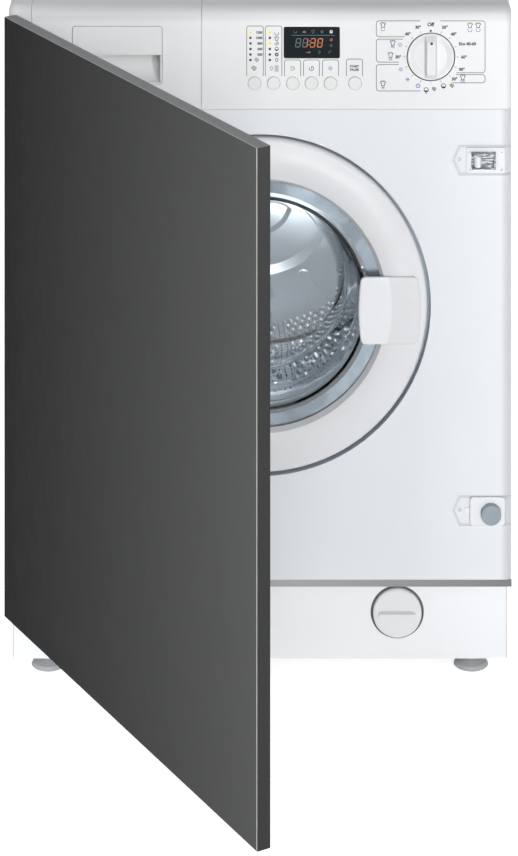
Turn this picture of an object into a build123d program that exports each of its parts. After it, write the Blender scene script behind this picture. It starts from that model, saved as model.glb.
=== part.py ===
from build123d import *
import os
from math import cos, pi, radians, sin, sqrt

# Built-in washer dryer for a 600 mm kitchen niche, furniture door standing open.
# Millimetres. +Z up, +X to the right, +Y into the machine.
# The origin is on the floor, at mid-width, in the plane of the front panel's face.

# Cabinet
machine_width = 595.0
machine_height = 820.0
machine_depth = 545.0
side_sheet = 1.2
edge_round = 8.0
top_round = 14.0
seam_gap = 0.4
seat_gap = 0.3
panel_return = 22.0
front_sheet = 1.2
fascia_height = 123.0
hem_height = 8.5
plinth_height = 132.5
plinth_recess = 60.0
top_plate_sheet = 1.2
top_plate_fold = 12.0
rail_height = 16.0
rail_width = 28.0
rear_sheet = 1.2
flange_width = 14.0
side_rib_places = (150.0, 330.0, 450.0)
side_rib_depth = 3.0
side_rib_length = 440.0
side_rib_width = 26.0
side_rib_middle = 420.0
cover_half_width = 190.0
cover_bottom = 70.0
cover_top = 650.0
cover_overlap = 12.0
cover_corner = 30.0
cover_dish = 6.0
cover_slot_count = 5
cover_slot_pitch = 14.0
cover_slot_length = 120.0
cover_slot_width = 5.0
transit_hole_x = 232.0
transit_hole_heights = (300.0, 600.0)
transit_hole_radius = 9.0
top_bead_inset = 28.0
top_bead_width = 10.0
rail_front_y = 46.0
rail_rear_inset = 9.0
rail_sheet = 1.5
beam_width = 26.0

# Fittings on the rear
valve_x = -168.0
valve_z = 772.0
valve_body_radius = 20.0
inlet_thread_radius = 13.2
inlet_length = 14.0
drain_x = 205.0
drain_z = 768.0
drain_radius = 16.0
drain_spigot_radius = 10.5
drain_spigot_length = 26.0
gland_x = 240.0
gland_z = 700.0
gland_radius = 10.0
gland_bore_radius = 4.5

# Base and feet
base_wall = 2.5
base_clearance = 20.0
foot_pad_radius = 21.0
foot_pad_height = 9.0
foot_screw_radius = 5.0
foot_side_inset = 42.0
foot_front_setback = 28.0
foot_rear_setback = 45.0
foot_travel = 15.0
foot_boss_radius = 13.0
foot_boss_top = 62.0
base_side_height = 70.0
base_rib_height = 22.0
base_rib_places = (185.0, 290.0, 430.0)
base_floor_openings = ((-120.0, 20.0, 200.0, 280.0), (-220.0, 30.0, 305.0, 420.0), (-200.0, 200.0, 445.0, 520.0))
hem_setback = 1.5

# Fascia, display, knob and buttons
fascia_depth = 34.0
fascia_wall = 2.5
left_seam_x = -270.0
middle_seam_x = -69.0
display_left = 27.9
display_right = 94.6
display_bottom = 757.2
display_top = 794.6
display_glass_thickness = 2.0
display_frame = 3.0
display_corner = 2.2
button_tube_wall = 1.4
button_tube_depth = 7.0
button_radius = 7.7
button_length = 10.0
button_proud = 1.2
button_travel = 1.5
button_gap = 0.35
button_z = 727.9
button_places = (-6.4, 16.3, 38.8, 61.0, 83.5, 112.4)
knob_x = 202.0
knob_z = 759.0
knob_radius = 27.6
knob_well_radius = 28.8
knob_well_depth = 11.0
knob_dish_radius = 25.2
knob_grip_width = 12.5
knob_proud = 8.0
knob_shaft_radius = 3.0
knob_rim_y = -0.8
knob_dish_floor = 1.6
knob_skirt_y = 9.5

# Detergent drawer
drawer_left = -221.3
drawer_right = -115.8
drawer_top = 794.9
drawer_face_bottom = 761.4
scoop_bottom = 727.0
scoop_depth = 19.0
drawer_corner = 3.5
drawer_wall = 1.8
drawer_length = 228.0
drawer_gap = 0.6
drawer_travel = 105.0
drawer_sleeve_depth = 26.0
flap_thickness = 3.4
flap_proud = 0.8
tray_bottom = 735.0
runner_width = 1.6
housing_wall = 2.2
housing_bottom = 731.0

# Porthole
porthole_z = 465.6
recess_radius = 202.0
recess_depth = 18.0
opening_radius = 166.0
collar_depth = 10.0
ring_radius = 198.0
ring_inner_radius = 146.0
ring_crown = 5.5
ring_back = 10.0
ring_edge_y = 3.0
ring_wall = 2.6
ring_chamfer = 4.5
ring_rib_count = 24
ring_screw_count = 6
ring_screw_radius = 168.0
inner_ring_lug = 3.8
inner_ring_lug_y = 11.7
inner_ring_outer = 162.0
inner_ring_back = 18.0
glass_flange_radius = 152.0
bowl_mouth_radius = 127.0
bowl_tip_radius = 106.0
bowl_depth = 96.0
glass_thickness = 4.0
glass_front_y = 4.3
gasket_lip_radius = 130.5
gasket_sheet = 2.2
porthole_pin_x = -187.0
porthole_pin_y = 4.5
pin_radius = 2.3
pin_clearance = 0.1
knuckle_radius = 4.6
knuckle_height = 20.0
rim_notch_y = 2.0
ear_height = 14.0

# Handle and latch
handle_left = 116.0
handle_right = 189.0
handle_height = 79.6
handle_z = 461.8
handle_front = -9.0
handle_pin_x = 180.0
handle_pin_y = 3.0
handle_pin_radius = 2.0
handle_cover_back = -6.1
handle_lug_offset = 28.0
handle_lug_thickness = 5.0
hook_pin_x = 180.0
hook_pin_y = 6.5
hook_pin_radius = 1.8
hook_half_width = 5.0
hook_tip_y = 34.0
hook_thickness = 5.0

# Hinge and catch stations on the front panel
station_upper_z = 637.0
station_lower_z = 223.0
station_depth = 1.2
station_half_width = 28.0
station_half_height = 17.7
station_point = 8.0
station_outer_x = 291.0
latch_slot_left = 170.0
latch_slot_right = 192.0
latch_slot_half_height = 9.0
bracket_half_height = 34.0

# Furniture door
door_width = 595.0
door_bottom = 104.0
door_height = 706.0
door_thickness = 16.0
door_gap = 12.0
door_pin_x = -286.5
door_pin_y = -17.5
door_open_angle = 60.0
door_edge_round = 0.8
cup_radius = 17.5
cup_depth = 11.5
cup_setback = 21.0
door_pin_radius = 2.0
arm_thickness = 3.2
arm_plate_left = -268.0
arm_knee_x = -258.0
arm_bend_x = -268.5
arm_half_height = 8.0
arm_eye_radius = 4.2
cup_wall = 1.0
cup_flange = 1.2
strike_x = 266.0
strike_reach_y = -3.5

# Catch and buffer
catch_left = 250.0
catch_right = 278.0
catch_front = -9.5
catch_roller_x = 257.0
catch_roller_y = -5.5
buffer_left = 247.6
buffer_pad_x = 272.5
buffer_pad_radius = 11.8

# Drum, tub and drive
drum_radius = 235.0
drum_front_y = 104.0
drum_back_y = 392.0
drum_sheet = 1.2
drum_bead = 2.5
drum_mouth_radius = 152.0
paddle_count = 3
paddle_height = 52.0
paddle_width = 56.0
tub_radius = 262.0
tub_wall = 3.0
tub_front_y = 84.0
tub_split_y = 190.0
tub_back_y = 418.0
tub_mouth_radius = 163.0
shaft_radius = 12.5
hub_radius = 38.0
hub_back_y = 452.0
pulley_radius = 148.0
pulley_y = 478.0
pulley_width = 14.0
motor_x = 118.0
motor_z = 128.0
motor_radius = 62.0
motor_length = 165.0
motor_pulley_radius = 10.0
motor_y0 = 255.0
motor_shaft_radius = 6.0
belt_gap = 0.3
bearing_radius = 26.0
drum_star_count = 6
paddle_seat_radius = 232.5
spider_reach = 214.0
spider_arm_depth = 15.0
pulley_spokes = 6
tub_flange = 8.0
tub_rib_count = 18
tub_rib_height = 4.0
drum_clear_radius = 239.0
upper_weight_x0 = -196.0
upper_weight_x1 = -6.0
upper_weight_y0 = 280.0
upper_weight_y1 = 400.0
upper_weight_top = 786.0
crescent_outer = 252.0
crescent_inner = 182.0
crescent_depth = 30.0
duct_foot_places = [212.0, 378.0]
heater_drop = 243.8
heater_half_width = 34.0
heater_front_y = 120.0
heater_flange_y = 418.5
heater_rod_radius = 3.2

# Drying air
duct_left = 20.0
duct_right = 132.0
duct_front_y = 46.0
duct_bottom = 741.0
duct_top = 788.0
fan_x = 96.0
fan_y = 462.0
fan_housing_radius = 58.0
fan_wheel_radius = 48.0
fan_shaft_radius = 3.0
fan_blade_count = 18
fan_blade_height = 24.0
belt_thickness = 3.0
belt_width = 12.0

# Suspension
damper_x = 168.0
damper_y = 232.0
damper_tube_radius = 17.0
damper_rod_radius = 8.0
spring_x = 268.0
spring_y = 236.0
spring_radius = 11.0
spring_wire_radius = 1.6
tub_travel = 10.0
damper_lug_width = 22.0
damper_foot_z = 42.0
damper_tube_top = 195.0
damper_bore_radius = 8.6
damper_bore_floor = 95.0
damper_rod_bottom = 118.0
spring_hook_radius = 2.0
spring_turns = 8
spring_end_length = 22.0
tub_lug_top = 600.0
damper_lug_low = 236.0

# Pump and filter in the base
filter_x = 165.0
filter_z = 76.0
filter_cap_radius = 29.0
filter_tube_radius = 31.0
filter_depth = 78.0
filter_basket_radius = filter_tube_radius - 3.08

# Values that follow from the ones above
half_width = machine_width / 2
panel_top = machine_height - fascia_height
panel_bottom = plinth_height + hem_height
side_front_y = panel_return + seam_gap
rail_top = machine_height - top_plate_sheet
pin_half_length = knuckle_height / 2 + ear_height + seat_gap
pocket_half = bracket_half_height + 1.0
rail_bottom = rail_top - rail_height
rear_y = machine_depth
cup_x = -door_width / 2 + cup_setback
foot_x = half_width - foot_side_inset
foot_places = [(x, y) for y in (plinth_recess + foot_front_setback, rear_y - foot_rear_setback)
               for x in (-foot_x, foot_x)]

parts = {}


def block(x0, x1, y0, y1, z0, z1):
    """A block between two corners."""
    centre = Pos((x0 + x1) / 2, (y0 + y1) / 2, (z0 + z1) / 2)
    return centre * Box(abs(x1 - x0), abs(y1 - y0), abs(z1 - z0))


def rod_y(x, z, radius, y0, y1):
    """A round bar along Y."""
    return Pos(x, (y0 + y1) / 2, z) * Rot(90, 0, 0) * Cylinder(radius, abs(y1 - y0))


def rod_z(x, y, radius, z0, z1):
    """A round bar along Z."""
    return Pos(x, y, (z0 + z1) / 2) * Cylinder(radius, abs(z1 - z0))


def rod_x(y, z, radius, x0, x1):
    """A round bar along X."""
    return Pos((x0 + x1) / 2, y, z) * Rot(0, 90, 0) * Cylinder(radius, abs(x1 - x0))


def turned_y(points, x=0.0, z=0.0, rounding=0.0, rounded=None):
    """A body turned about a line along Y; points are (radius, y)."""
    face = make_face(Polyline(*points, close=True))
    if rounding:
        corners = face.vertices()
        if rounded is not None:
            wanted = [points[i] for i in rounded]
            corners = [v for v in corners if any(
                abs(v.X - p[0]) < 1e-6 and abs(v.Y - p[1]) < 1e-6 for p in wanted)]
        face = fillet(corners, rounding)
    return Pos(x, 0, z) * revolve(face, Axis.Y)


def turned_z(points, x=0.0, y=0.0):
    """A body turned about an upright line; points are (radius, z)."""
    face = Plane.XZ * make_face(Polyline(*points, close=True))
    return Pos(x, y, 0) * revolve(face, Axis.Z)


def plate_xz(outline, y0, y1):
    """A plate whose outline is a flat sketch in X and Z, between two depths."""
    return extrude(Plane((0, y1, 0), x_dir=(1, 0, 0), z_dir=(0, -1, 0)) * outline, y1 - y0)


def rounded_plate(x0, x1, z0, z1, radius, y0, y1):
    """A plate with rounded corners, seen from the front."""
    outline = RectangleRounded(x1 - x0, z1 - z0, radius)
    return Pos((x0 + x1) / 2, 0, (z0 + z1) / 2) * plate_xz(outline, y0, y1)


def upright_edges(shape, x=None, y=None):
    """The upright edges of a shape that lie at a given x or y."""
    found = shape.edges().filter_by(Axis.Z)
    if x is not None:
        found = found.filter_by(lambda e: abs(abs(e.center().X) - x) < 0.01)
    if y is not None:
        found = found.filter_by(lambda e: abs(e.center().Y - y) < 0.01)
    return found


def save(name, shape):
    """Keep one named piece for export."""
    shape.label = name
    parts[name] = shape


# Cabinet sheet metal

def side_panels():
    """Left and right side sheets with folded edges and pressed ribs, cut back over the plinth."""
    low_z = base_clearance
    step_z = plinth_height + 2 * seat_gap
    upper_front_y = fascia_depth + seat_gap
    outline = make_face(Polyline(
        (side_front_y, step_z), (plinth_recess, step_z), (plinth_recess, low_z), (rear_y, low_z),
        (rear_y, rail_top), (upper_front_y, rail_top), (upper_front_y, panel_top),
        (side_front_y, panel_top), close=True))
    panel = extrude(Plane.YZ.offset(half_width - side_sheet) * outline, side_sheet)
    inner_x = half_width - flange_width
    panel += block(inner_x, half_width, side_front_y, side_front_y + side_sheet, panel_bottom, panel_top)
    panel += block(inner_x, half_width, upper_front_y, upper_front_y + side_sheet, panel_top, rail_top)
    panel += block(inner_x, half_width, rear_y - side_sheet, rear_y, low_z, rail_top)
    panel += block(inner_x, half_width, upper_front_y, rear_y, rail_top - side_sheet, rail_top)
    for rib_y in side_rib_places:
        place = Pos(half_width - side_rib_depth, rib_y, side_rib_middle) * Rot(0, 90, 0)
        swell = extrude(SlotOverall(side_rib_length, side_rib_width), side_rib_depth + 0.1)
        panel += Pos(-side_sheet, 0, 0) * place * swell
        hollow = SlotOverall(side_rib_length - 2 * side_sheet, side_rib_width - 2 * side_sheet)
        panel -= place * extrude(hollow, side_rib_depth + side_sheet)
    return Compound([panel, mirror(panel, Plane.YZ)])


def rear_panel():
    """Rear sheet with a round-cornered service opening and holes for the fittings."""
    edge_x = half_width - flange_width - seat_gap
    panel = block(-edge_x, edge_x, rear_y - rear_sheet, rear_y, base_clearance,
                  rail_top - side_sheet - seat_gap)
    inset = cover_overlap
    panel -= rounded_plate(-cover_half_width + inset, cover_half_width - inset, cover_bottom + inset,
                           cover_top - inset, cover_corner, rear_y - 2 * rear_sheet, rear_y + 1)
    for x, z, radius in ((valve_x, valve_z, valve_body_radius), (drain_x, drain_z, drain_radius),
                         (gland_x, gland_z, gland_radius)):
        panel -= rod_y(x, z, radius + seat_gap, rear_y - 2 * rear_sheet, rear_y + 1)
    for x in (-transit_hole_x, transit_hole_x):
        for z in transit_hole_heights:
            panel -= rod_y(x, z, transit_hole_radius, rear_y - 2 * rear_sheet, rear_y + 1)
    return panel


def rear_cover():
    """Bolted service cover over the belt, dished inward with a row of air slots."""
    face_y = rear_y + rear_sheet
    cover = rounded_plate(-cover_half_width, cover_half_width, cover_bottom, cover_top,
                          cover_corner + cover_overlap, rear_y + 0.05, face_y)
    inset = cover_overlap + seat_gap
    dish = rounded_plate(-cover_half_width + inset, cover_half_width - inset, cover_bottom + inset,
                         cover_top - inset, cover_corner, face_y - cover_dish, face_y)
    hollow = rounded_plate(-cover_half_width + inset + rear_sheet, cover_half_width - inset - rear_sheet,
                           cover_bottom + inset + rear_sheet, cover_top - inset - rear_sheet,
                           cover_corner - rear_sheet, face_y - cover_dish + rear_sheet, face_y + 1)
    cover = cover + dish - hollow
    for row in range(cover_slot_count):
        z = cover_bottom + 2 * cover_overlap + cover_slot_pitch * (row + 1)
        slot = plate_xz(SlotOverall(cover_slot_length, cover_slot_width), rear_y - 2 * cover_dish,
                        rear_y + 2)
        cover -= Pos(0, 0, z) * slot
    return cover


def top_plate():
    """Flat lid sheet with a raised border bead, laid on the side folds and rails."""
    lid = block(-half_width, half_width, fascia_depth + seam_gap, rear_y, rail_top + 0.05, machine_height)
    middle_y = (fascia_depth + rear_y) / 2
    span_x = machine_width - 2 * top_bead_inset
    span_y = rear_y - fascia_depth - 2 * top_bead_inset
    bead = RectangleRounded(span_x, span_y, top_bead_inset)
    bead -= RectangleRounded(span_x - 2 * top_bead_width, span_y - 2 * top_bead_width,
                             top_bead_inset - top_bead_width)
    return lid - Pos(0, middle_y, machine_height - top_plate_sheet / 2) * extrude(bead, top_plate_sheet)


def top_rails():
    """Cross rails at front and rear joined by two side beams that carry the springs."""
    end_x = half_width - side_sheet - seat_gap
    top_z = rail_top - side_sheet - 0.05
    frame = None
    for y0 in (rail_front_y, rear_y - rail_rear_inset - rail_width):
        rail = block(-end_x, end_x, y0, y0 + rail_width, rail_bottom, top_z)
        rail -= block(-end_x - 1, end_x + 1, y0 + rail_sheet, y0 + rail_width - rail_sheet,
                      rail_bottom - 1, top_z - rail_sheet)
        frame = rail if frame is None else frame + rail
    beam_front = rail_front_y + rail_width - rail_sheet
    beam_back = rear_y - rail_rear_inset - rail_width + rail_sheet
    for side in (-1, 1):
        x0 = side * spring_x - beam_width / 2
        beam = block(x0, x0 + beam_width, beam_front, beam_back, rail_bottom, top_z)
        beam -= block(x0 + rail_sheet, x0 + beam_width - rail_sheet, beam_front - 1, beam_back + 1,
                      rail_bottom - 1, top_z - rail_sheet)
        bridge = block(x0, x0 + beam_width, spring_y - 9, spring_y + 9, rail_bottom,
                       rail_bottom + 2 * rail_sheet)
        frame += beam + bridge
        frame -= rod_z(side * spring_x, spring_y, spring_hook_radius + 0.6, rail_bottom - 1,
                       rail_bottom + 2 * rail_sheet + 1)
    return frame


def station_outline(side, point_room=0.0):
    """The five-cornered field pressed round a hinge or a catch, its point towards the middle."""
    inner_x = side * (station_outer_x - 2 * station_half_width)
    outer_x = side * station_outer_x
    tip_x = inner_x - side * (station_point + point_room)
    low, high = -station_half_height, station_half_height
    corners = [(outer_x, low), (outer_x, high), (inner_x, high), (tip_x, high * 0.35),
               (tip_x, low * 0.35), (inner_x, low)]
    face = make_face(Polyline(*corners, close=True))
    return fillet(face.vertices(), 2.0)


def front_panel():
    """Pressed steel front with a dished porthole recess, four stations and a slot for the latch."""
    panel = block(-half_width, half_width, 0, panel_return, panel_bottom + seam_gap, panel_top)
    panel = fillet(upright_edges(panel, x=half_width, y=0), edge_round)
    core = block(-half_width + front_sheet, half_width - front_sheet, front_sheet, panel_return + 1,
                 panel_bottom + seam_gap + front_sheet, panel_top - front_sheet)
    core = fillet(upright_edges(core, x=half_width - front_sheet, y=front_sheet), edge_round - front_sheet)
    panel -= core
    for side in (-1, 1):
        for z in (station_lower_z, station_upper_z):
            field = station_outline(side)
            panel += Pos(0, 0, z) * plate_xz(offset(field, front_sheet), 0.1, station_depth + front_sheet)
            panel -= Pos(0, 0, z) * plate_xz(field, -1, station_depth)
    panel -= rod_y(0, porthole_z, recess_radius, -1, panel_return + 1)
    wall = recess_radius + front_sheet
    floor_y = recess_depth + front_sheet
    collar_y = recess_depth + collar_depth
    dish = turned_y([(recess_radius, 0.0), (recess_radius, recess_depth), (opening_radius, recess_depth),
                     (opening_radius, collar_y), (opening_radius + front_sheet, collar_y),
                     (opening_radius + front_sheet, floor_y), (wall, floor_y), (wall, 0.0)],
                    z=porthole_z)
    panel += dish
    panel -= block(latch_slot_left, latch_slot_right, recess_depth - 1, floor_y + 1,
                   handle_z - latch_slot_half_height, handle_z + latch_slot_half_height)
    panel -= rod_y(-recess_radius + 14, porthole_z - bracket_half_height + 8, 2.0, recess_depth - 1, floor_y + 1)
    return panel


def base_frame():
    """Plinth tray with a recessed front wall, a forward shelf with the hem, ribs and foot bosses."""
    side_x = half_width - side_sheet - seat_gap
    back_y = rear_y - rear_sheet - seat_gap
    low_z = base_clearance
    tray = block(-side_x, side_x, plinth_recess, back_y, low_z, base_side_height)
    tray -= block(-side_x + base_wall, side_x - base_wall, plinth_recess + base_wall, back_y - base_wall,
                  low_z + base_wall, base_side_height + 1)
    tray += block(-side_x, side_x, plinth_recess, plinth_recess + base_wall, low_z, plinth_height)
    tray += block(-half_width, half_width, hem_setback, plinth_recess + base_wall,
                  plinth_height, plinth_height + front_sheet) - block(
        -side_x - 5, -side_x, panel_return, plinth_recess + 5, 0, 200) - block(
        side_x, side_x + 5, panel_return, plinth_recess + 5, 0, 200)
    tray += block(-half_width, half_width, hem_setback, hem_setback + front_sheet,
                  plinth_height, panel_bottom)
    for x0, x1, y0, y1 in base_floor_openings:
        corner = RectangleRounded(x1 - x0, y1 - y0, 12.0)
        tray -= Pos((x0 + x1) / 2, (y0 + y1) / 2, low_z - 1) * extrude(corner, base_wall + 2)
    for y in base_rib_places:
        tray += block(-side_x + base_wall, side_x - base_wall, y, y + base_wall, low_z, low_z + base_rib_height)
    for x, y in foot_places:
        tray += rod_z(x, y, foot_boss_radius, low_z, foot_boss_top)
        tray -= rod_z(x, y, foot_screw_radius + seat_gap, low_z - 1, foot_boss_top + 1)
    for x in (-damper_x, damper_x):
        tray += block(x - damper_lug_width / 2, x + damper_lug_width / 2, damper_y - damper_tube_radius,
                      damper_y + damper_tube_radius, low_z, damper_foot_z - seat_gap)
    tray -= rod_y(filter_x, filter_z, filter_cap_radius + 3.0, plinth_recess - 1, plinth_recess + base_wall + 1)
    return tray


def foot(x, y):
    """A threaded foot: a wide pad, a hexagon neck and a screw that stands in the base."""
    pad = turned_z([(0, 0), (foot_pad_radius - 1.5, 0), (foot_pad_radius, 1.5),
                    (foot_pad_radius - 2.0, foot_pad_height * 0.6), (foot_screw_radius * 2.0, foot_pad_height),
                    (0, foot_pad_height)], x, y)
    neck_top = base_clearance - seat_gap
    neck = Pos(x, y, foot_pad_height) * extrude(RegularPolygon(foot_screw_radius * 1.7, 6),
                                                neck_top - foot_pad_height)
    screw = rod_z(x, y, foot_screw_radius, foot_pad_height, foot_boss_top - 4)
    return pad + neck + screw


def damper_cylinders():
    """Two friction damper tubes that stand on the base with their bores up."""
    group = []
    for x in (-damper_x, damper_x):
        tube = turned_z([(0, damper_foot_z), (damper_tube_radius * 0.6, damper_foot_z),
                         (damper_tube_radius * 0.6, damper_foot_z + 12), (damper_tube_radius, damper_foot_z + 20),
                         (damper_tube_radius, damper_tube_top - 6), (damper_tube_radius - 3, damper_tube_top),
                         (damper_bore_radius, damper_tube_top), (damper_bore_radius, damper_bore_floor),
                         (0, damper_bore_floor)], x, damper_y)
        group.append(tube)
    return Compound(group)


def suspension_springs():
    """Two coil springs with straight end hooks between the side beams and the tub lugs."""
    group = []
    for x in (-spring_x, spring_x):
        low = tub_lug_top + seat_gap
        high = rail_bottom - seat_gap
        coil_low = low + spring_end_length
        coil_high = high - spring_end_length
        pitch = (coil_high - coil_low) / spring_turns
        path = Helix(pitch, coil_high - coil_low, spring_radius - spring_wire_radius)
        section = Plane(path @ 0, z_dir=path % 0) * Rectangle(2 * spring_wire_radius, 2 * spring_wire_radius)
        coil = Pos(x, spring_y, coil_low) * sweep(section, path=path, is_frenet=True)
        for z0, z1 in ((low, coil_low + spring_wire_radius), (coil_high - spring_wire_radius, high)):
            stem = rod_z(x, spring_y, spring_hook_radius, z0, z1)
            edge = coil_low if z0 == low else coil_high
            bridge = block(x, x + spring_radius - spring_wire_radius, spring_y - spring_wire_radius,
                           spring_y + spring_wire_radius, edge - spring_wire_radius,
                           edge + spring_wire_radius)
            coil = coil + stem + bridge
        group.append(coil)
    return Compound(group)


# Fascia, drawer, display and controls

def fascia_blank(x0, x1, left_round=0.0, right_round=0.0):
    """A hollow fascia length with a rounded top edge, open at the back."""
    def solid(inset):
        body = block(x0 + inset, x1 - inset, inset, fascia_depth + (1 if inset else 0),
                     panel_top + seam_gap + inset, machine_height - inset)
        top_edge = body.edges().filter_by(Axis.X).sort_by(lambda e: e.center().Z - e.center().Y)[-1]
        body = fillet(top_edge, top_round - inset)
        for limit, radius in ((x0 + inset, left_round), (x1 - inset, right_round)):
            if radius:
                edges = [e for e in body.edges().filter_by(Axis.Z)
                         if abs(e.center().X - limit) < 0.01 and e.center().Y < top_round]
                body = fillet(edges, radius - inset)
        return body
    return solid(0.0) - solid(fascia_wall)


def control_fascia():
    """Right-hand fascia with the display seat, button tubes and the knob well."""
    fascia = fascia_blank(middle_seam_x + seam_gap / 2, half_width, right_round=edge_round)
    frame = display_frame
    seat_y = display_glass_thickness + seat_gap
    fascia += rounded_plate(display_left - frame, display_right + frame, display_bottom - frame,
                            display_top + frame, display_corner + frame, 0.5, seat_y + fascia_wall)
    fascia -= rounded_plate(display_left, display_right, display_bottom, display_top, display_corner,
                            -1, seat_y)
    fascia -= rounded_plate(display_left + frame, display_right - frame, display_bottom + frame,
                            display_top - frame, display_corner, -1, fascia_depth)
    hole = button_radius + button_gap
    for x in button_places:
        fascia += rod_y(x, button_z, hole + button_tube_wall, 0.5, button_tube_depth)
        fascia -= rod_y(x, button_z, hole, -1, fascia_depth)
    fascia += rod_y(knob_x, knob_z, knob_well_radius + fascia_wall, 0.5, knob_well_depth + fascia_wall)
    fascia -= rod_y(knob_x, knob_z, knob_well_radius, -1, knob_well_depth)
    fascia -= rod_y(knob_x, knob_z, knob_shaft_radius + seat_gap, -1, fascia_depth)
    for x in (middle_seam_x + 12.0, 150.0, half_width - 22.0):
        for z in (panel_top + 14.0, machine_height - 12.0):
            fascia += rod_y(x, z, 4.0, 1.0, fascia_depth - 2) - rod_y(x, z, 1.6, 6.0, fascia_depth)
    return fascia


def dispenser_fascia():
    """Left fascia length with the drawer opening, and the narrow end piece beside it."""
    fascia = fascia_blank(left_seam_x + seam_gap / 2, middle_seam_x - seam_gap / 2)
    gap = drawer_gap
    sleeve = 2.0
    low, high = scoop_bottom - gap, drawer_top + gap
    fascia += rounded_plate(drawer_left - gap - sleeve, drawer_right + gap + sleeve, low - sleeve,
                            high + sleeve, drawer_corner + gap + sleeve, 0.5, drawer_sleeve_depth)
    fascia -= rounded_plate(drawer_left - gap, drawer_right + gap, low, high, drawer_corner + gap,
                            -1, fascia_depth + 1)
    end_piece = fascia_blank(-half_width, left_seam_x - seam_gap / 2, left_round=edge_round)
    return Compound([fascia, end_piece])


def display_window():
    """Tinted display lens that drops into its seat."""
    gap = seat_gap
    lens = rounded_plate(display_left + gap, display_right - gap, display_bottom + gap, display_top - gap,
                         display_corner - gap, 0.0, display_glass_thickness)
    front = lens.faces().sort_by(Axis.Y)[0]
    return chamfer(front.edges(), 0.4)


def button(x):
    """A round push button with a soft front edge and a retaining flange at its back."""
    back = button_tube_depth + seat_gap
    profile = [(0, -button_proud), (button_radius, -button_proud), (button_radius, back),
               (button_radius + 1.4, back), (button_radius + 1.4, back + 1.6), (0, back + 1.6)]
    return turned_y(profile, x, button_z, rounding=1.0, rounded=[1])


def programme_knob():
    """Programme knob: a dished disc with a raised grip bar, a skirt and a shaft."""
    disc = turned_y([(0, knob_dish_floor), (knob_dish_radius - 6, knob_dish_floor),
                     (knob_dish_radius, knob_rim_y), (knob_radius - 0.8, knob_rim_y),
                     (knob_radius, knob_rim_y + 0.8), (knob_radius, knob_skirt_y),
                     (knob_radius - 2, knob_skirt_y), (knob_radius - 2, knob_dish_floor + 3.0),
                     (0, knob_dish_floor + 3.0)], knob_x, knob_z)
    length = 2 * (knob_radius - 1.6)
    bar_profile = make_face(Polyline(
        (-knob_grip_width * 0.62, knob_dish_floor + 1), (-knob_grip_width * 0.42, -knob_proud),
        (knob_grip_width * 0.42, -knob_proud), (knob_grip_width * 0.62, knob_dish_floor + 1), close=True))
    bar_profile = fillet(bar_profile.vertices().sort_by(Axis.Y)[:2], 1.6)
    bar = extrude(bar_profile, length / 2, both=True)
    trim = turned_y([(0, -knob_proud - 1), (knob_radius - 9.0, -knob_proud - 1),
                     (knob_radius - 1.4, knob_rim_y), (knob_radius - 1.4, knob_dish_floor + 1),
                     (0, knob_dish_floor + 1)], 0, 0)
    bar = Pos(knob_x, 0, knob_z) * (bar & trim)
    shaft = rod_y(knob_x, knob_z, knob_shaft_radius, knob_dish_floor + 1, fascia_depth - 6)
    boss = rod_y(knob_x, knob_z, knob_shaft_radius + 2.4, knob_dish_floor + 1, knob_well_depth - seat_gap)
    return disc + bar + shaft + boss


def drawer_front():
    """Drawer front: a flat flap above, a concave finger scoop below it."""
    front = rounded_plate(drawer_left, drawer_right, scoop_bottom, drawer_top, drawer_corner,
                          0.0, scoop_depth + drawer_wall)
    side = drawer_wall
    inner_left, inner_right = drawer_left + side, drawer_right - side
    with_lip = Line((-2, scoop_bottom + 1.6), (0, scoop_bottom + 1.6))
    curve = ThreePointArc((0, scoop_bottom + 1.6), (scoop_depth * 0.70, scoop_bottom + 9.5),
                          (scoop_depth, scoop_bottom + 27.0))
    rise = Polyline((scoop_depth, scoop_bottom + 27.0), (scoop_depth, drawer_top - 12.0),
                    (scoop_depth - 4, drawer_top - 8.0), (flap_thickness, drawer_top - 8.0),
                    (flap_thickness, drawer_face_bottom), (-2, drawer_face_bottom),
                    (-2, scoop_bottom + 1.6))
    hollow = extrude(Plane.YZ.offset(inner_left) * make_face([with_lip, curve, rise]),
                     inner_right - inner_left)
    front -= hollow
    proud = rounded_plate(drawer_left, drawer_right, drawer_face_bottom, drawer_top, drawer_corner,
                          -flap_proud, 0.5)
    return front + proud


def detergent_drawer():
    """The drawer's front and its tray, clipped together."""
    return Compound([drawer_front(), drawer_tray()])


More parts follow.
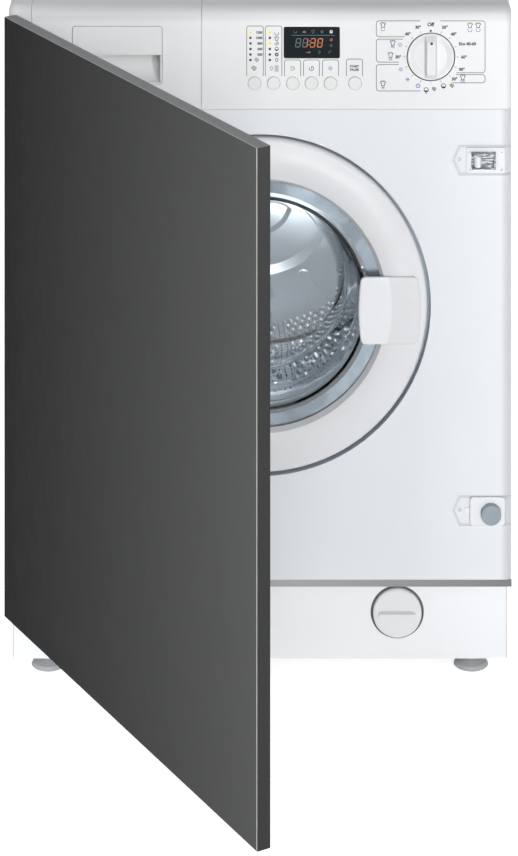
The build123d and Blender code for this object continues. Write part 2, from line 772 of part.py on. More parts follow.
def drawer_tray():
    """Detergent tray with a prewash, a main wash and a softener compartment."""
    front_y = scoop_depth + drawer_wall + 0.05
    back_y = front_y + drawer_length
    low, high = tray_bottom, drawer_top - 7.0
    x0, x1 = drawer_left + 2.0, drawer_right - 2.0
    wall = drawer_wall
    tray = block(x0, x1, front_y, back_y, low, high)
    tray = fillet(upright_edges(tray, y=back_y), 8.0)
    width = (x1 - x0 - 4 * wall) / 3
    spans = [(x0 + wall, x0 + wall + width), (x0 + 2 * wall + width, x0 + 2 * wall + 2 * width),
             (x0 + 3 * wall + 2 * width, x1 - wall)]
    depths = (0.0, 0.0, 8.0)
    lengths = (wall, wall, drawer_length * 0.45)
    for (left, right), lift, rear in zip(spans, depths, lengths):
        pocket = block(left, right, front_y + wall, back_y - rear - wall, low + wall + lift, high + 1)
        pocket = fillet(pocket.edges().filter_by(Axis.Y).sort_by(Axis.Z)[:2], 5.0)
        tray -= pocket
    siphon_x = (spans[2][0] + spans[2][1]) / 2
    tray += rod_z(siphon_x, back_y - drawer_length * 0.45 - wall - 16.0, 6.0, low + wall, high - 6.0)
    for left, right in spans[:2]:
        tray -= block(left + 4, right - 4, back_y - wall - 1, back_y + 1, low + wall + 3, low + 14.0)
    runner_z = high - 6.0
    tray += block(x0 - runner_width, x0, front_y + 20, back_y - 12, runner_z, runner_z + 2.0)
    tray += block(x1, x1 + runner_width, front_y + 20, back_y - 12, runner_z, runner_z + 2.0)
    return tray


def dispenser_housing():
    """Open-fronted box round the tray, with its runners, water roof and an outlet below."""
    x0, x1 = drawer_left - 3.0, drawer_right + 3.0
    front_y = fascia_depth + seat_gap
    back_y = scoop_depth + drawer_wall + drawer_length + 14.0
    low, high = housing_bottom, rail_bottom - 4.0
    wall = housing_wall
    box = block(x0 - wall, x1 + wall, front_y, back_y, low - wall, high)
    box = fillet(upright_edges(box, y=back_y), 6.0)
    box -= block(x0, x1, front_y - 1, back_y - wall, low, high - wall)
    rail_low = drawer_top - 7.0 - 6.0 - 0.5
    for x, inward in ((x0, 1), (x1, -1)):
        for z in (rail_low - 2.0, rail_low + 3.0):
            box += block(x, x + inward * 2.2, front_y, back_y - wall, z, z + 2.0)
    outlet_x = (x0 + x1) / 2
    box += rod_z(outlet_x, back_y - 30, 17.0, low - wall - 14.0, low)
    box -= rod_z(outlet_x, back_y - 30, 15.0, low - wall - 15.0, low + 1)
    for step in range(4):
        y = front_y + 40 + 40 * step
        box += block(x0 + 5, x1 - 5, y, y + 1.6, high - 0.1, high + 2.5)
    for x in (x0 + 8, x1 - 20):
        box += block(x, x + 12, rail_front_y - 1, rail_front_y + 8, high - 1, rail_bottom - seat_gap)
    return box


def door_lock():
    """Electric lock body behind the panel, its mouth open for the latch hook."""
    x0, x1 = latch_slot_left - 1.4, latch_slot_right + 10.0
    front_y = recess_depth + front_sheet + 0.05
    body = block(x0, x1, front_y, front_y + 30.0, handle_z - 26.0, handle_z + 30.0)
    body = fillet(body.edges().filter_by(Axis.X), 3.0)
    body -= block(latch_slot_left, latch_slot_right, front_y - 1, front_y + 24.0,
                  handle_z - latch_slot_half_height, handle_z + latch_slot_half_height)
    body += block(x0 + 3, x1 - 3, front_y + 29.0, front_y + 40.0, handle_z - 20.0, handle_z + 4.0)
    for z in (handle_z - 21.0, handle_z + 25.0):
        body -= rod_y((x0 + x1) / 2, z, 1.8, front_y - 1, front_y + 12)
    return body


def porthole_hinge_bracket():
    """Porthole hinge bracket: a base on the recess floor and two pierced ears."""
    x0 = porthole_pin_x - knuckle_radius
    x1 = -opening_radius - 1.5
    base_y = recess_depth - 0.05
    base = rounded_plate(x0 - 0.5, x1, porthole_z - bracket_half_height, porthole_z + bracket_half_height,
                         3.0, base_y - 2.0, base_y)
    for sign in (-1, 1):
        z = porthole_z + sign * (knuckle_height / 2 + seat_gap + ear_height / 2)
        ear = block(porthole_pin_x - 2.0, porthole_pin_x + knuckle_radius, porthole_pin_y, base_y - 1.9,
                    z - ear_height / 2, z + ear_height / 2)
        ear += rod_z(porthole_pin_x, porthole_pin_y, knuckle_radius, z - ear_height / 2, z + ear_height / 2)
        base += ear
    base -= rod_z(porthole_pin_x, porthole_pin_y, pin_radius + pin_clearance, 0, 2 * porthole_z)
    for sign in (-1, 1):
        base -= rod_y(x1 - 5.0, porthole_z + sign * (bracket_half_height - 5), 1.8, 0, 30)
    return base


# Hinge and catch hardware on the front panel

def furniture_hinge_arms():
    """Two cranked arms screwed to the left stations, each ending in an eye for the cup pin."""
    group = []
    plate_y = station_depth - 0.05
    for z in (station_lower_z, station_upper_z):
        right = -station_outer_x + 2 * station_half_width - 1.5
        left = arm_plate_left
        plate = rounded_plate(left, right, z - station_half_height + 2.5, z + station_half_height - 2.5,
                              3.0, plate_y - arm_thickness, plate_y)
        line = Polyline((right - 4.0, plate_y - arm_thickness / 2), (arm_knee_x, plate_y - arm_thickness / 2 - 0.6),
                        (arm_bend_x, door_pin_y + 7.0), (door_pin_x, door_pin_y))
        strip = trace(line, arm_thickness)
        arm = Pos(0, 0, z - arm_half_height) * extrude(strip, 2 * arm_half_height)
        eye = rod_z(door_pin_x, door_pin_y, arm_eye_radius, z - arm_half_height, z + arm_half_height)
        one = plate + arm + eye
        one -= rod_z(door_pin_x, door_pin_y, door_pin_radius + pin_clearance, z - 40, z + 40)
        for sign in (-1, 1):
            one -= rod_y(right - 7.0, z + sign * 9.0, 2.2, -20, 10)
        one += block(right - 16.0, right - 10.0, plate_y - arm_thickness - 1.6, plate_y - arm_thickness + 0.2,
                     z - 5.0, z + 5.0)
        group.append(one)
    return Compound(group)


def door_catch():
    """Roller catch on the upper right station: a base with two cheeks and a spring arm."""
    z = station_upper_z
    base_y = station_depth - 0.05
    base = rounded_plate(catch_left - 6, station_outer_x - 2.0, z - 15.0, z + 15.0, 2.5, base_y - 2.2, base_y)
    for z0 in (z - 10.0, z + 7.0):
        cheek = block(catch_left, catch_right, catch_front, base_y - 2.0, z0, z0 + 3.0)
        base += fillet(upright_edges(cheek, y=catch_front), 2.0)
    base += block(catch_right - 2.2, catch_right, catch_front + 1.5, base_y - 2.0, z - 8.0, z + 8.0)
    base -= rod_z(catch_roller_x, catch_roller_y, 1.0 + pin_clearance, z - 30, z + 30)
    for x in (catch_left - 2.6, station_outer_x - 5.4):
        base -= rod_y(x, z + 10.5, 1.6, -10, 10)
        base -= rod_y(x, z - 10.5, 1.6, -10, 10)
    return base


def catch_roller():
    """White roller of the catch, turning on its own pin between the cheeks."""
    z = station_upper_z
    roller = turned_z([(0, z - 6.7), (3.4, z - 6.7), (4.2, z - 5.6), (4.2, z + 5.6), (3.4, z + 6.7),
                       (0, z + 6.7)], catch_roller_x, catch_roller_y)
    return roller + rod_z(catch_roller_x, catch_roller_y, 1.0, z - 9.8, z + 9.8)


def buffer_cover():
    """Plastic cover on the lower right station with a round seat for the pad."""
    z = station_lower_z
    base_y = station_depth - 0.05
    cover = rounded_plate(buffer_left, station_outer_x - 1.6, z - 16.9, z + 16.9, 4.5, base_y - 4.6, base_y)
    front = cover.faces().sort_by(Axis.Y)[0]
    cover = fillet(front.edges(), 1.6)
    cover -= rod_y(buffer_pad_x, z - 1.5, buffer_pad_radius + seat_gap, base_y - 5, base_y - 2.0)
    tab_x = buffer_left - 6.0
    cover += rounded_plate(tab_x, buffer_left + 3, z - 3.5, z + 3.5, 1.5, base_y - 1.5, base_y)
    return cover


def buffer_pad():
    """Round grey pad that the closed furniture door rests against."""
    base_y = station_depth - 0.05
    z = station_lower_z - 1.5
    front_y = -door_gap + seat_gap
    profile = [(0, front_y), (buffer_pad_radius, front_y), (buffer_pad_radius, base_y - 2.3), (0, base_y - 2.3)]
    return turned_y(profile, buffer_pad_x, z, rounding=1.2, rounded=[1])


# Porthole

def ring_section():
    """Section of the porthole ring in (radius, y): a crowned thin shell open at the back."""
    wall = ring_wall
    inner, outer = ring_inner_radius, ring_radius
    crown_r = (inner + outer) / 2
    front = [Line((inner, glass_front_y - 0.3), (inner + ring_chamfer, -ring_crown + 2.6)),
             ThreePointArc((inner + ring_chamfer, -ring_crown + 2.6), (crown_r, -ring_crown),
                           (outer - 6.0, -ring_crown + 3.2)),
             ThreePointArc((outer - 6.0, -ring_crown + 3.2), (outer - 1.6, -ring_crown + 5.2),
                           (outer, ring_edge_y))]
    rest = Polyline((outer, ring_edge_y), (outer, ring_back), (outer - wall, ring_back),
                    (outer - wall, ring_edge_y + 1.5), (outer - 7.0, -ring_crown + 3.2 + wall),
                    (crown_r, -ring_crown + wall), (inner + ring_chamfer + wall, -ring_crown + 2.6 + wall),
                    (inner + ring_chamfer + wall - 0.6, glass_front_y - 0.3), (inner, glass_front_y - 0.3))
    return make_face([*front, rest])


def door_ring():
    """White porthole ring with ribs, screw pillars, hinge knuckle and lugs for handle and hook."""
    ring = Pos(0, 0, porthole_z) * revolve(ring_section(), Axis.Y)
    skin_y = -ring_crown + ring_wall
    for step in range(ring_rib_count):
        angle = 360.0 * (step + 0.5) / ring_rib_count
        rib = block(inner_ring_outer + 1.2, ring_radius - ring_wall / 2, skin_y + 1.2, ring_back - 1.0, -0.8, 0.8)
        ring += Pos(0, 0, porthole_z) * Rot(0, angle, 0) * rib
    for step in range(ring_screw_count):
        angle = 360.0 * (step + 0.5) / ring_screw_count + 7.5
        pillar = rod_y(ring_screw_radius, 0, 3.6, skin_y + 0.6, inner_ring_lug_y - seat_gap)
        pillar -= rod_y(ring_screw_radius, 0, 1.3, skin_y + 2.5, inner_ring_back)
        ring += Pos(0, 0, porthole_z) * Rot(0, angle, 0) * pillar
    pin_z0 = porthole_z - knuckle_height / 2
    pocket_low, pocket_high = porthole_z - pocket_half, porthole_z + pocket_half
    pocket_right = porthole_pin_x + knuckle_radius + 1.2
    ring -= block(porthole_pin_x - knuckle_radius - 0.6, pocket_right,
                  porthole_pin_y - knuckle_radius - 0.6, ring_back + 6, pocket_low, pocket_high)
    ring -= block(-ring_radius - 1, pocket_right, rim_notch_y, ring_back + 6, pocket_low, pocket_high)
    knuckle = rod_z(porthole_pin_x, porthole_pin_y, knuckle_radius, pin_z0, pin_z0 + knuckle_height)
    knuckle += block(porthole_pin_x, pocket_right + 9.0, 0.6, 7.0, pin_z0, pin_z0 + knuckle_height)
    knuckle += block(pocket_right, pocket_right + 9.0, skin_y - 1.2, 7.0, pin_z0, pin_z0 + knuckle_height)
    ring += knuckle
    ring += rod_z(porthole_pin_x, porthole_pin_y, pin_radius, porthole_z - pin_half_length,
                  porthole_z + pin_half_length)
    for sign in (-1, 1):
        z = handle_z + sign * handle_lug_offset
        ring -= block(handle_pin_x - 6.6, handle_pin_x + 6.6, -ring_crown - 1, ring_back + 1,
                      z - handle_lug_thickness / 2 - 1.2, z + handle_lug_thickness / 2 + 1.2)
        for z0 in (z - handle_lug_thickness / 2 - 4.4, z + handle_lug_thickness / 2 + 1.4):
            cheek = block(handle_pin_x - 5.0, handle_pin_x + 5.0, skin_y - 1.6, handle_pin_y + 5.0, z0, z0 + 3.0)
            cheek -= rod_z(handle_pin_x, handle_pin_y, handle_pin_radius + pin_clearance, z0 - 1, z0 + 4)
            ring += cheek
    for z0 in (handle_z - hook_half_width - 4.6, handle_z + hook_half_width + 1.2):
        cheek = block(hook_pin_x - 5.0, hook_pin_x + 5.0, skin_y - 0.5, hook_pin_y + 4.5, z0, z0 + 3.4)
        cheek -= rod_z(hook_pin_x, hook_pin_y, hook_pin_radius + pin_clearance, z0 - 1, z0 + 5)
        ring += cheek
    return ring


def door_inner_ring():
    """Inner clamp ring that holds the glass bowl from behind, with screw lugs."""
    web_y = glass_front_y + glass_thickness + seat_gap
    outer = inner_ring_outer
    ring = turned_y([(bowl_mouth_radius + 4.2, web_y), (outer, web_y), (outer, inner_ring_back),
                     (outer - 2.5, inner_ring_back), (outer - 5.0, web_y + 3.0), (bowl_mouth_radius + 8.0, web_y + 3.0),
                     (bowl_mouth_radius + 5.2, web_y + 1.6)], z=porthole_z)
    for step in range(ring_screw_count):
        angle = 360.0 * (step + 0.5) / ring_screw_count + 7.5
        lug_back = inner_ring_lug_y + inner_ring_lug
        lug = block(outer - 2.0, ring_screw_radius, inner_ring_lug_y, lug_back, -4.5, 4.5)
        lug += rod_y(ring_screw_radius, 0, 4.5, inner_ring_lug_y, lug_back)
        lug -= rod_y(ring_screw_radius, 0, 1.7, 0, inner_ring_back + 1)
        ring += Pos(0, 0, porthole_z) * Rot(0, angle, 0) * lug
    return ring


def door_glass():
    """Pressed glass bowl: a flat flange, a slightly tapered wall and a rounded end."""
    front, wall = glass_front_y, glass_thickness
    tip_y = bowl_depth
    outer = [(glass_flange_radius, front), (glass_flange_radius, front + wall),
             (bowl_mouth_radius, front + wall), (bowl_mouth_radius - 6.0, tip_y * 0.5),
             (bowl_tip_radius + 3.0, tip_y - 12.0)]
    tip = [(bowl_tip_radius - 12.0, tip_y), (0, tip_y), (0, tip_y - wall), (bowl_tip_radius - 13.5, tip_y - wall)]
    inner = [(bowl_tip_radius - 1.4, tip_y - 14.0), (bowl_mouth_radius - 6.0 - wall, tip_y * 0.5),
             (bowl_mouth_radius - wall, front + 2.0), (bowl_mouth_radius - wall + 2.0, front)]
    edge = Polyline(*outer)
    round_out = ThreePointArc(outer[-1], (bowl_tip_radius - 2.4, tip_y - 3.0), tip[0])
    flat = Polyline(*tip)
    round_in = ThreePointArc(tip[-1], (bowl_tip_radius - 5.2, tip_y - 7.0), inner[0])
    back = Polyline(*inner, outer[0])
    face = make_face([edge, round_out, flat, round_in, back])
    return Pos(0, 0, porthole_z) * revolve(face, Axis.Y)


def door_handle():
    """Pull handle: a bulged cover with closed sides, two hinge lugs and short pins."""
    low, high = handle_z - handle_height / 2, handle_z + handle_height / 2
    bulge = 3.2
    outline = make_face([
        ThreePointArc((handle_left + bulge, low), (handle_left, handle_z), (handle_left + bulge, high)),
        Line((handle_left + bulge, high), (handle_right - bulge, high)),
        ThreePointArc((handle_right - bulge, high), (handle_right, handle_z), (handle_right - bulge, low)),
        Line((handle_right - bulge, low), (handle_left + bulge, low))])
    outline = fillet(outline.vertices(), 6.0)
    cover = plate_xz(outline, handle_front, handle_cover_back)
    front = cover.faces().sort_by(Axis.Y)[0]
    cover = fillet(front.edges(), 2.2)
    grip = block(handle_left + 2.6, ring_inner_radius - 5.0, handle_cover_back - 0.5, handle_cover_back + 4.0,
                 low + 7, low + 10)
    cover += grip + Pos(0, 0, handle_height - 17) * grip
    for sign in (-1, 1):
        z = handle_z + sign * handle_lug_offset
        half = handle_lug_thickness / 2
        lug = block(handle_pin_x - 4.0, handle_pin_x + 4.0, handle_cover_back - 0.5, handle_pin_y, z - half, z + half)
        lug += rod_z(handle_pin_x, handle_pin_y, 4.0, z - half, z + half)
        cover += lug + rod_z(handle_pin_x, handle_pin_y, handle_pin_radius, z - half - 4.0, z + half + 4.0)
    return cover


def latch_hook():
    """Steel latch hook on its own pin behind the ring, reaching through the panel into the lock."""
    half = hook_half_width
    outline = make_face(Polyline(
        (hook_pin_x - hook_thickness / 2, hook_pin_y), (hook_pin_x - hook_thickness / 2, hook_tip_y - 8),
        (hook_pin_x - hook_thickness / 2 - 3.0, hook_tip_y - 6.5), (hook_pin_x - hook_thickness / 2 - 1.0, hook_tip_y),
        (hook_pin_x + hook_thickness / 2, hook_tip_y), (hook_pin_x + hook_thickness / 2, hook_pin_y), close=True))
    hook = Pos(0, 0, handle_z - half) * extrude(outline, 2 * half)
    hook += rod_z(hook_pin_x, hook_pin_y, 4.0, handle_z - half, handle_z + half)
    hook += rod_z(hook_pin_x, hook_pin_y, hook_pin_radius, handle_z - half - 4.4, handle_z + half + 4.4)
    return hook


def door_gasket():
    """Rubber bellows between the panel collar and the tub mouth, with a lip beside the glass."""
    collar_y = recess_depth + collar_depth
    line = Polyline((opening_radius - 1.6, recess_depth + 3.2), (opening_radius - 1.6, collar_y + 1.8),
                    (gasket_lip_radius + 6, collar_y + 2.6), (gasket_lip_radius, collar_y - 1.0),
                    (gasket_lip_radius + 1.5, collar_y + 8.0), (opening_radius - 14, collar_y + 15.0),
                    (opening_radius - 1.6, collar_y + 22.0), (opening_radius - 1.6, collar_y + 29.0),
                    (opening_radius - 16, collar_y + 36.0), (opening_radius - 16, collar_y + 44.0),
                    (tub_mouth_radius - 5.2, tub_front_y - 6), (tub_mouth_radius - 5.2, tub_front_y + 9))
    section = trace(line, gasket_sheet)
    return Pos(0, 0, porthole_z) * revolve(section, Axis.Y)


# Drum, tub and drive

def drum_shell():
    """Stainless drum: rolled wall with stiffening beads, curled mouth and a pressed back."""
    r = drum_radius
    front, back = drum_front_y, drum_back_y
    line = Polyline((drum_mouth_radius, front + 12), (drum_mouth_radius, front + 4), (drum_mouth_radius + 4, front),
                    (drum_mouth_radius + 22, front), (r - 26, front + 9), (r - 6, front + 17), (r, front + 26),
                    (r, front + 60), (r + drum_bead, front + 66), (r, front + 72), (r, back - 72),
                    (r + drum_bead, back - 66), (r, back - 60), (r, back - 10), (r - 5, back - 3), (r - 22, back),
                    (r - 50, back), (r - 60, back - 7), (96, back - 7), (86, back), (44, back), (36, back - 5), (0.7, back - 5))
    shell = revolve(trace(line, drum_sheet), Axis.Y)
    for step in range(drum_star_count):
        angle = 360.0 * step / drum_star_count
        boss = Pos(0, back - 7.4, 0) * Rot(90, 0, 0) * Pos(0, 0, 0) * extrude(
            Pos(132, 0) * SlotOverall(58, 22), 4.0, taper=18)
        shell += Rot(0, angle, 0) * boss
    return Pos(0, 0, porthole_z) * shell


def drum_paddles():
    """Three moulded paddles riveted along the drum wall, tapered and rounded."""
    group = []
    length = drum_back_y - drum_front_y - 70.0
    middle_y = (drum_back_y + drum_front_y) / 2 + 6.0
    for step in range(paddle_count):
        angle = 360.0 * step / paddle_count + 30.0
        base = RectangleRounded(paddle_width, length, 10.0)
        body = extrude(base, paddle_height, taper=17)
        top = body.faces().sort_by(Axis.Z)[-1]
        body = fillet(top.edges(), 6.0)
        body -= Pos(0, 0, -1) * extrude(RectangleRounded(paddle_width - 8, length - 8, 7.0), paddle_height - 6,
                                        taper=17)
        seated = Pos(0, middle_y, -paddle_seat_radius) * body
        group.append(Pos(0, 0, porthole_z) * Rot(0, angle, 0) * seated)
    return Compound(group)


def drum_spider():
    """Cast three-armed spider with the drum shaft."""
    front_y = drum_back_y + drum_sheet / 2 + 0.05
    spider = turned_y([(0, front_y), (52, front_y), (52, front_y + 8), (34, front_y + 13),
                       (shaft_radius + 3, front_y + 15), (shaft_radius, front_y + 17), (shaft_radius, hub_back_y + 4),
                       (shaft_radius - 2.5, hub_back_y + 4), (shaft_radius - 2.5, pulley_y + pulley_width / 2 + 6),
                       (0, pulley_y + pulley_width / 2 + 6)], z=porthole_z)
    for step in range(3):
        outline = make_face(Polyline((30, -22), (spider_reach - 10, -9), (spider_reach, -9), (spider_reach, 9),
                                     (spider_reach - 10, 9), (30, 22), close=True))
        arm = extrude(outline, spider_arm_depth)
        arm -= Pos(0, 0, 4) * extrude(make_face(Polyline(
            (58, -10), (spider_reach - 18, -4.5), (spider_reach - 18, 4.5), (58, 10), close=True)), spider_arm_depth)
        placed = Pos(0, front_y, 0) * Rot(-90, 0, 0) * arm
        spider += Pos(0, 0, porthole_z) * Rot(0, 360.0 * step / 3 + 90.0, 0) * placed
    return spider


def drum_pulley():
    """Cast drum pulley with a ribbed rim, tapered spokes and a keyed hub."""
    y0, y1 = pulley_y - pulley_width / 2, pulley_y + pulley_width / 2
    groove = 1.4
    rim_points = [(pulley_radius - 6.0, y0), (pulley_radius, y0)]
    steps = 4
    usable = pulley_width - 3.0
    for i in range(steps):
        y = y0 + 1.5 + usable * i / steps
        rim_points += [(pulley_radius, y), (pulley_radius - groove, y + usable / steps / 2)]
    rim_points += [(pulley_radius, y1 - 1.5), (pulley_radius, y1), (pulley_radius - 6.0, y1)]
    pulley = turned_y(rim_points, z=porthole_z)
    pulley += turned_y([(0, hub_back_y + 4.4), (24, hub_back_y + 4.4), (24, y1 - 3), (18, y1), (0, y1)], z=porthole_z)
    for step in range(pulley_spokes):
        outline = make_face(Polyline((18, -11), (pulley_radius - 4, -6), (pulley_radius - 4, 6), (18, 11),
                                     close=True))
        spoke = Pos(0, y0 + 3.0, 0) * Rot(-90, 0, 0) * extrude(outline, 5.0)
        spoke += Pos(0, y0 + 2.0, 0) * Rot(-90, 0, 0) * Pos(0, 0, 5.0) * extrude(
            Pos(pulley_radius / 2, 0) * Rectangle(pulley_radius - 24, 3.0), 5.0)
        pulley += Pos(0, 0, porthole_z) * Rot(0, 360.0 * step / pulley_spokes, 0) * spoke
    pulley -= rod_y(0, porthole_z, shaft_radius - 2.5 + 0.05, hub_back_y, y1 + 1)
    return pulley


def tub_front():
    """Front tub shell: mouth collar, domed front wall with ribs and a bolted flange."""
    r, wall = tub_radius, tub_wall
    line = Polyline((tub_mouth_radius - 1.5, tub_front_y + 12), (tub_mouth_radius - 1.5, tub_front_y),
                    (tub_mouth_radius + 6, tub_front_y), (tub_mouth_radius + 10, tub_front_y + 5),
                    (r - 22, tub_front_y + 9), (r - 6, tub_front_y + 18), (r - wall / 2, tub_front_y + 32),
                    (r - wall / 2, tub_split_y))
    shell = revolve(trace(line, wall), Axis.Y)
    shell += turned_y([(r - 1, tub_split_y - 4), (r + tub_flange, tub_split_y - 4), (r + tub_flange, tub_split_y),
                       (r - 1, tub_split_y)])
    for step in range(tub_rib_count):
        angle = 360.0 * (step + 0.5) / tub_rib_count
        rib = block(r - 3, r + 4, tub_front_y + 36, tub_split_y - 4, -1.2, 1.2)
        shell += Rot(0, angle, 0) * rib
    return Pos(0, 0, porthole_z) * shell


def tub_rear():
    """Rear tub shell: flange, wall, ribbed back, bearing hub, spring lugs and motor lugs."""
    r, wall = tub_radius, tub_wall
    back = tub_back_y - wall / 2
    line = Polyline((r - wall / 2, tub_split_y + 0.05), (r - wall / 2, back - 14), (r - 8, back - 4), (r - 20, back),
                    (hub_radius, back))
    shell = revolve(trace(line, wall), Axis.Y)
    shell += turned_y([(r - 1, tub_split_y + 0.05), (r + tub_flange, tub_split_y + 0.05),
                       (r + tub_flange, tub_split_y + 4), (r - 1, tub_split_y + 4)])
    seal_y = tub_back_y - 8.0
    shell += turned_y([(bearing_radius, seal_y), (hub_radius, seal_y), (hub_radius, hub_back_y - 6),
                       (hub_radius - 4, hub_back_y), (bearing_radius, hub_back_y)])
    for step in range(tub_rib_count):
        angle = 360.0 * (step + 0.5) / tub_rib_count
        rib = extrude(make_face(Polyline((hub_radius - 3, back), (r - 12, back), (r - 30, back + 9),
                                         (hub_radius + 10, back + 26), (hub_radius - 3, back + 26), close=True)),
                      1.3, both=True)
        shell += Rot(0, angle, 0) * rib
    for ring_radius_here in (110.0, 185.0):
        shell += turned_y([(ring_radius_here, back), (ring_radius_here + 2.6, back),
                           (ring_radius_here + 2.6, back + 9), (ring_radius_here, back + 9)])
    shell = Pos(0, 0, porthole_z) * shell
    for side in (-1, 1):
        reach = side * (spring_x + 8)
        shell += block(side * 222, reach, spring_y - 9, spring_y + 9, tub_lug_top - 10, tub_lug_top)
        shell -= rod_z(side * spring_x, spring_y, spring_hook_radius + 0.6, tub_lug_top - 11, tub_lug_top + 1)
        shell += block(side * damper_x - 7, side * damper_x + 7, damper_y - 8, damper_y + 8, damper_lug_low,
                       porthole_z - sqrt(r ** 2 - (damper_x + 7) ** 2) + 8)
    for x in (motor_x - 42, motor_x + 30):
        surface = porthole_z - sqrt((r - 2) ** 2 - x ** 2)
        shell += block(x, x + 12, motor_y0 + 12, motor_y0 + 30, motor_z + motor_radius - 4, surface)
        shell += block(x, x + 12, motor_y0 + motor_length - 34, motor_y0 + motor_length - 16,
                       motor_z + motor_radius - 4, surface)
    shell -= rod_y(0, porthole_z, drum_clear_radius, tub_split_y, drum_back_y + 2)
    heater_z = porthole_z - heater_drop
    for x in (-heater_half_width, heater_half_width):
        shell -= rod_y(x, heater_z, heater_rod_radius + 0.2, drum_back_y, heater_flange_y)
    return shell - block(-heater_half_width - 14, heater_half_width + 14, heater_flange_y - 0.7, rear_y,
                         heater_z - 11, heater_z + 11)


def counterweights():
    """Cast concrete: an upper block saddled on the tub and a crescent below the porthole."""
    upper = block(upper_weight_x0, upper_weight_x1, upper_weight_y0, upper_weight_y1,
                  porthole_z + tub_radius - 26, upper_weight_top)
    upper = fillet(upper_edges(upper), 8.0)
    upper -= rod_y(0, porthole_z, tub_radius + seat_gap, 0, rear_y)
    upper -= rod_z((upper_weight_x0 + upper_weight_x1) / 2, upper_weight_y0 + 40, 7, 600, 900)
    upper -= rod_z((upper_weight_x0 + upper_weight_x1) / 2, upper_weight_y1 - 40, 7, 600, 900)
    y0, y1 = tub_front_y - 0.3 - crescent_depth, tub_front_y - 0.3
    ring = Circle(crescent_outer) - Circle(crescent_inner)
    keep = make_face(Polyline((0, 0), (-400, -130), (-400, -500), (400, -500), (400, -130), close=True))
    flat = make_face(Polyline((-400, -236), (400, -236), (400, 0), (-400, 0), close=True))
    outline = ring & keep & flat
    crescent = Pos(0, 0, porthole_z) * plate_xz(outline, y0, y1)
    pads = turned_y([(192, y1 - 1), (192, tub_front_y + 4.3), (222, tub_front_y + 6.1), (222, y1 - 1)], z=porthole_z)
    for x in (-150.0, 150.0):
        crescent += pads & block(x - 18, x + 18, y0, tub_front_y + 9, porthole_z - 160.0, porthole_z - 120.0)
        crescent -= rod_y(x, porthole_z - 140.0, 6.0, y0 - 1, tub_front_y + 9)
    return Compound([upper, crescent])


def upper_edges(shape):
    """The long top edges and upright edges of a cast block."""
    top = shape.faces().sort_by(Axis.Z)[-1]
    return ShapeList(list(top.edges()) + list(shape.edges().filter_by(Axis.Z)))


def heater():
    """Bent tubular heater under the drum with its flange, clamp plate and terminals."""
    z = porthole_z - heater_drop
    path = FilletPolyline((-heater_half_width, heater_flange_y, z), (-heater_half_width, heater_front_y, z),
                          (heater_half_width, heater_front_y, z), (heater_half_width, heater_flange_y, z), radius=14)
    section = Plane(path @ 0, z_dir=path % 0) * Circle(heater_rod_radius)
    rod = sweep(section, path=path)
    flange = rounded_plate(-heater_half_width - 12, heater_half_width + 12, z - 9, z + 9, 7.0,
                           heater_flange_y - 0.5, heater_flange_y + 3.5)
    post = rod_y(0, z, 2.5, heater_flange_y + 3, heater_flange_y + 16)
    tags = block(-heater_half_width - 3, -heater_half_width + 3, heater_flange_y + 3, heater_flange_y + 13,
                 z - 0.5, z + 0.5)
    return rod + flange + post + tags + Pos(2 * heater_half_width, 0, 0) * tags


def drive_motor():
    """Belt motor: laminated stator between two end brackets, with lugs and a brush box."""
    y0, y1 = motor_y0, motor_y0 + motor_length
    stack = rod_y(motor_x, motor_z, motor_radius, y0 + 34, y1 - 34)
    for step in range(4):
        flat = block(motor_radius - 5, motor_radius + 5, y0, y1, -40, 40)
        stack -= Pos(motor_x, 0, motor_z) * Rot(0, 45 + 90 * step, 0) * flat
    bracket = [(0, y0), (24, y0), (46, y0 + 14), (motor_radius - 6, y0 + 26), (motor_radius - 6, y0 + 34), (0, y0 + 34)]
    front = turned_y(bracket, motor_x, motor_z)
    other = [(p[0], y0 + y1 - p[1]) for p in bracket]
    back = turned_y(other, motor_x, motor_z)
    motor = stack + front + back
    for x in (motor_x - 42, motor_x + 30):
        for y in (y0 + 12, y1 - 34):
            motor += block(x, x + 12, y, y + 18, motor_z + 30, motor_z + motor_radius - 4.05)
    motor += block(motor_x - 58, motor_x - 30, y0 + 2, y0 + 30, motor_z - 16, motor_z + 16)
    for step in range(6):
        fin = block(38, 50, y1 - 24, y1 - 6, -1.5, 1.5)
        motor += Pos(motor_x, 0, motor_z) * Rot(0, 60 * step + 30, 0) * fin
    return motor - rod_y(motor_x, motor_z, motor_shaft_radius + 0.3, y1 - 20, y1 + 1)


def motor_pulley():
    """Small grooved pulley on the end of the motor shaft."""
    y0, y1 = pulley_y - belt_width / 2 - 2, pulley_y + belt_width / 2 + 2
    end = motor_y0 + motor_length
    wheel = turned_y([(0, y0), (motor_pulley_radius + 2, y0), (motor_pulley_radius + 2, y0 + 1.5),
                      (motor_pulley_radius, y0 + 1.5), (motor_pulley_radius, y1 - 1.5),
                      (motor_pulley_radius + 2, y1 - 1.5), (motor_pulley_radius + 2, y1), (0, y1)], motor_x, motor_z)
    return wheel + rod_y(motor_x, motor_z, motor_shaft_radius, end - 19.5, y0 + 1)


def drive_belt():
    """Ribbed belt stretched over both pulleys."""
    def hull(extra):
        circles = Pos(0, porthole_z) * Circle(pulley_radius + extra) + Pos(motor_x, motor_z) * Circle(
            motor_pulley_radius + extra)
        return make_hull(circles.edges())
    loop = hull(belt_gap + belt_thickness) - hull(belt_gap)
    return plate_xz(loop, pulley_y - belt_width / 2, pulley_y + belt_width / 2)


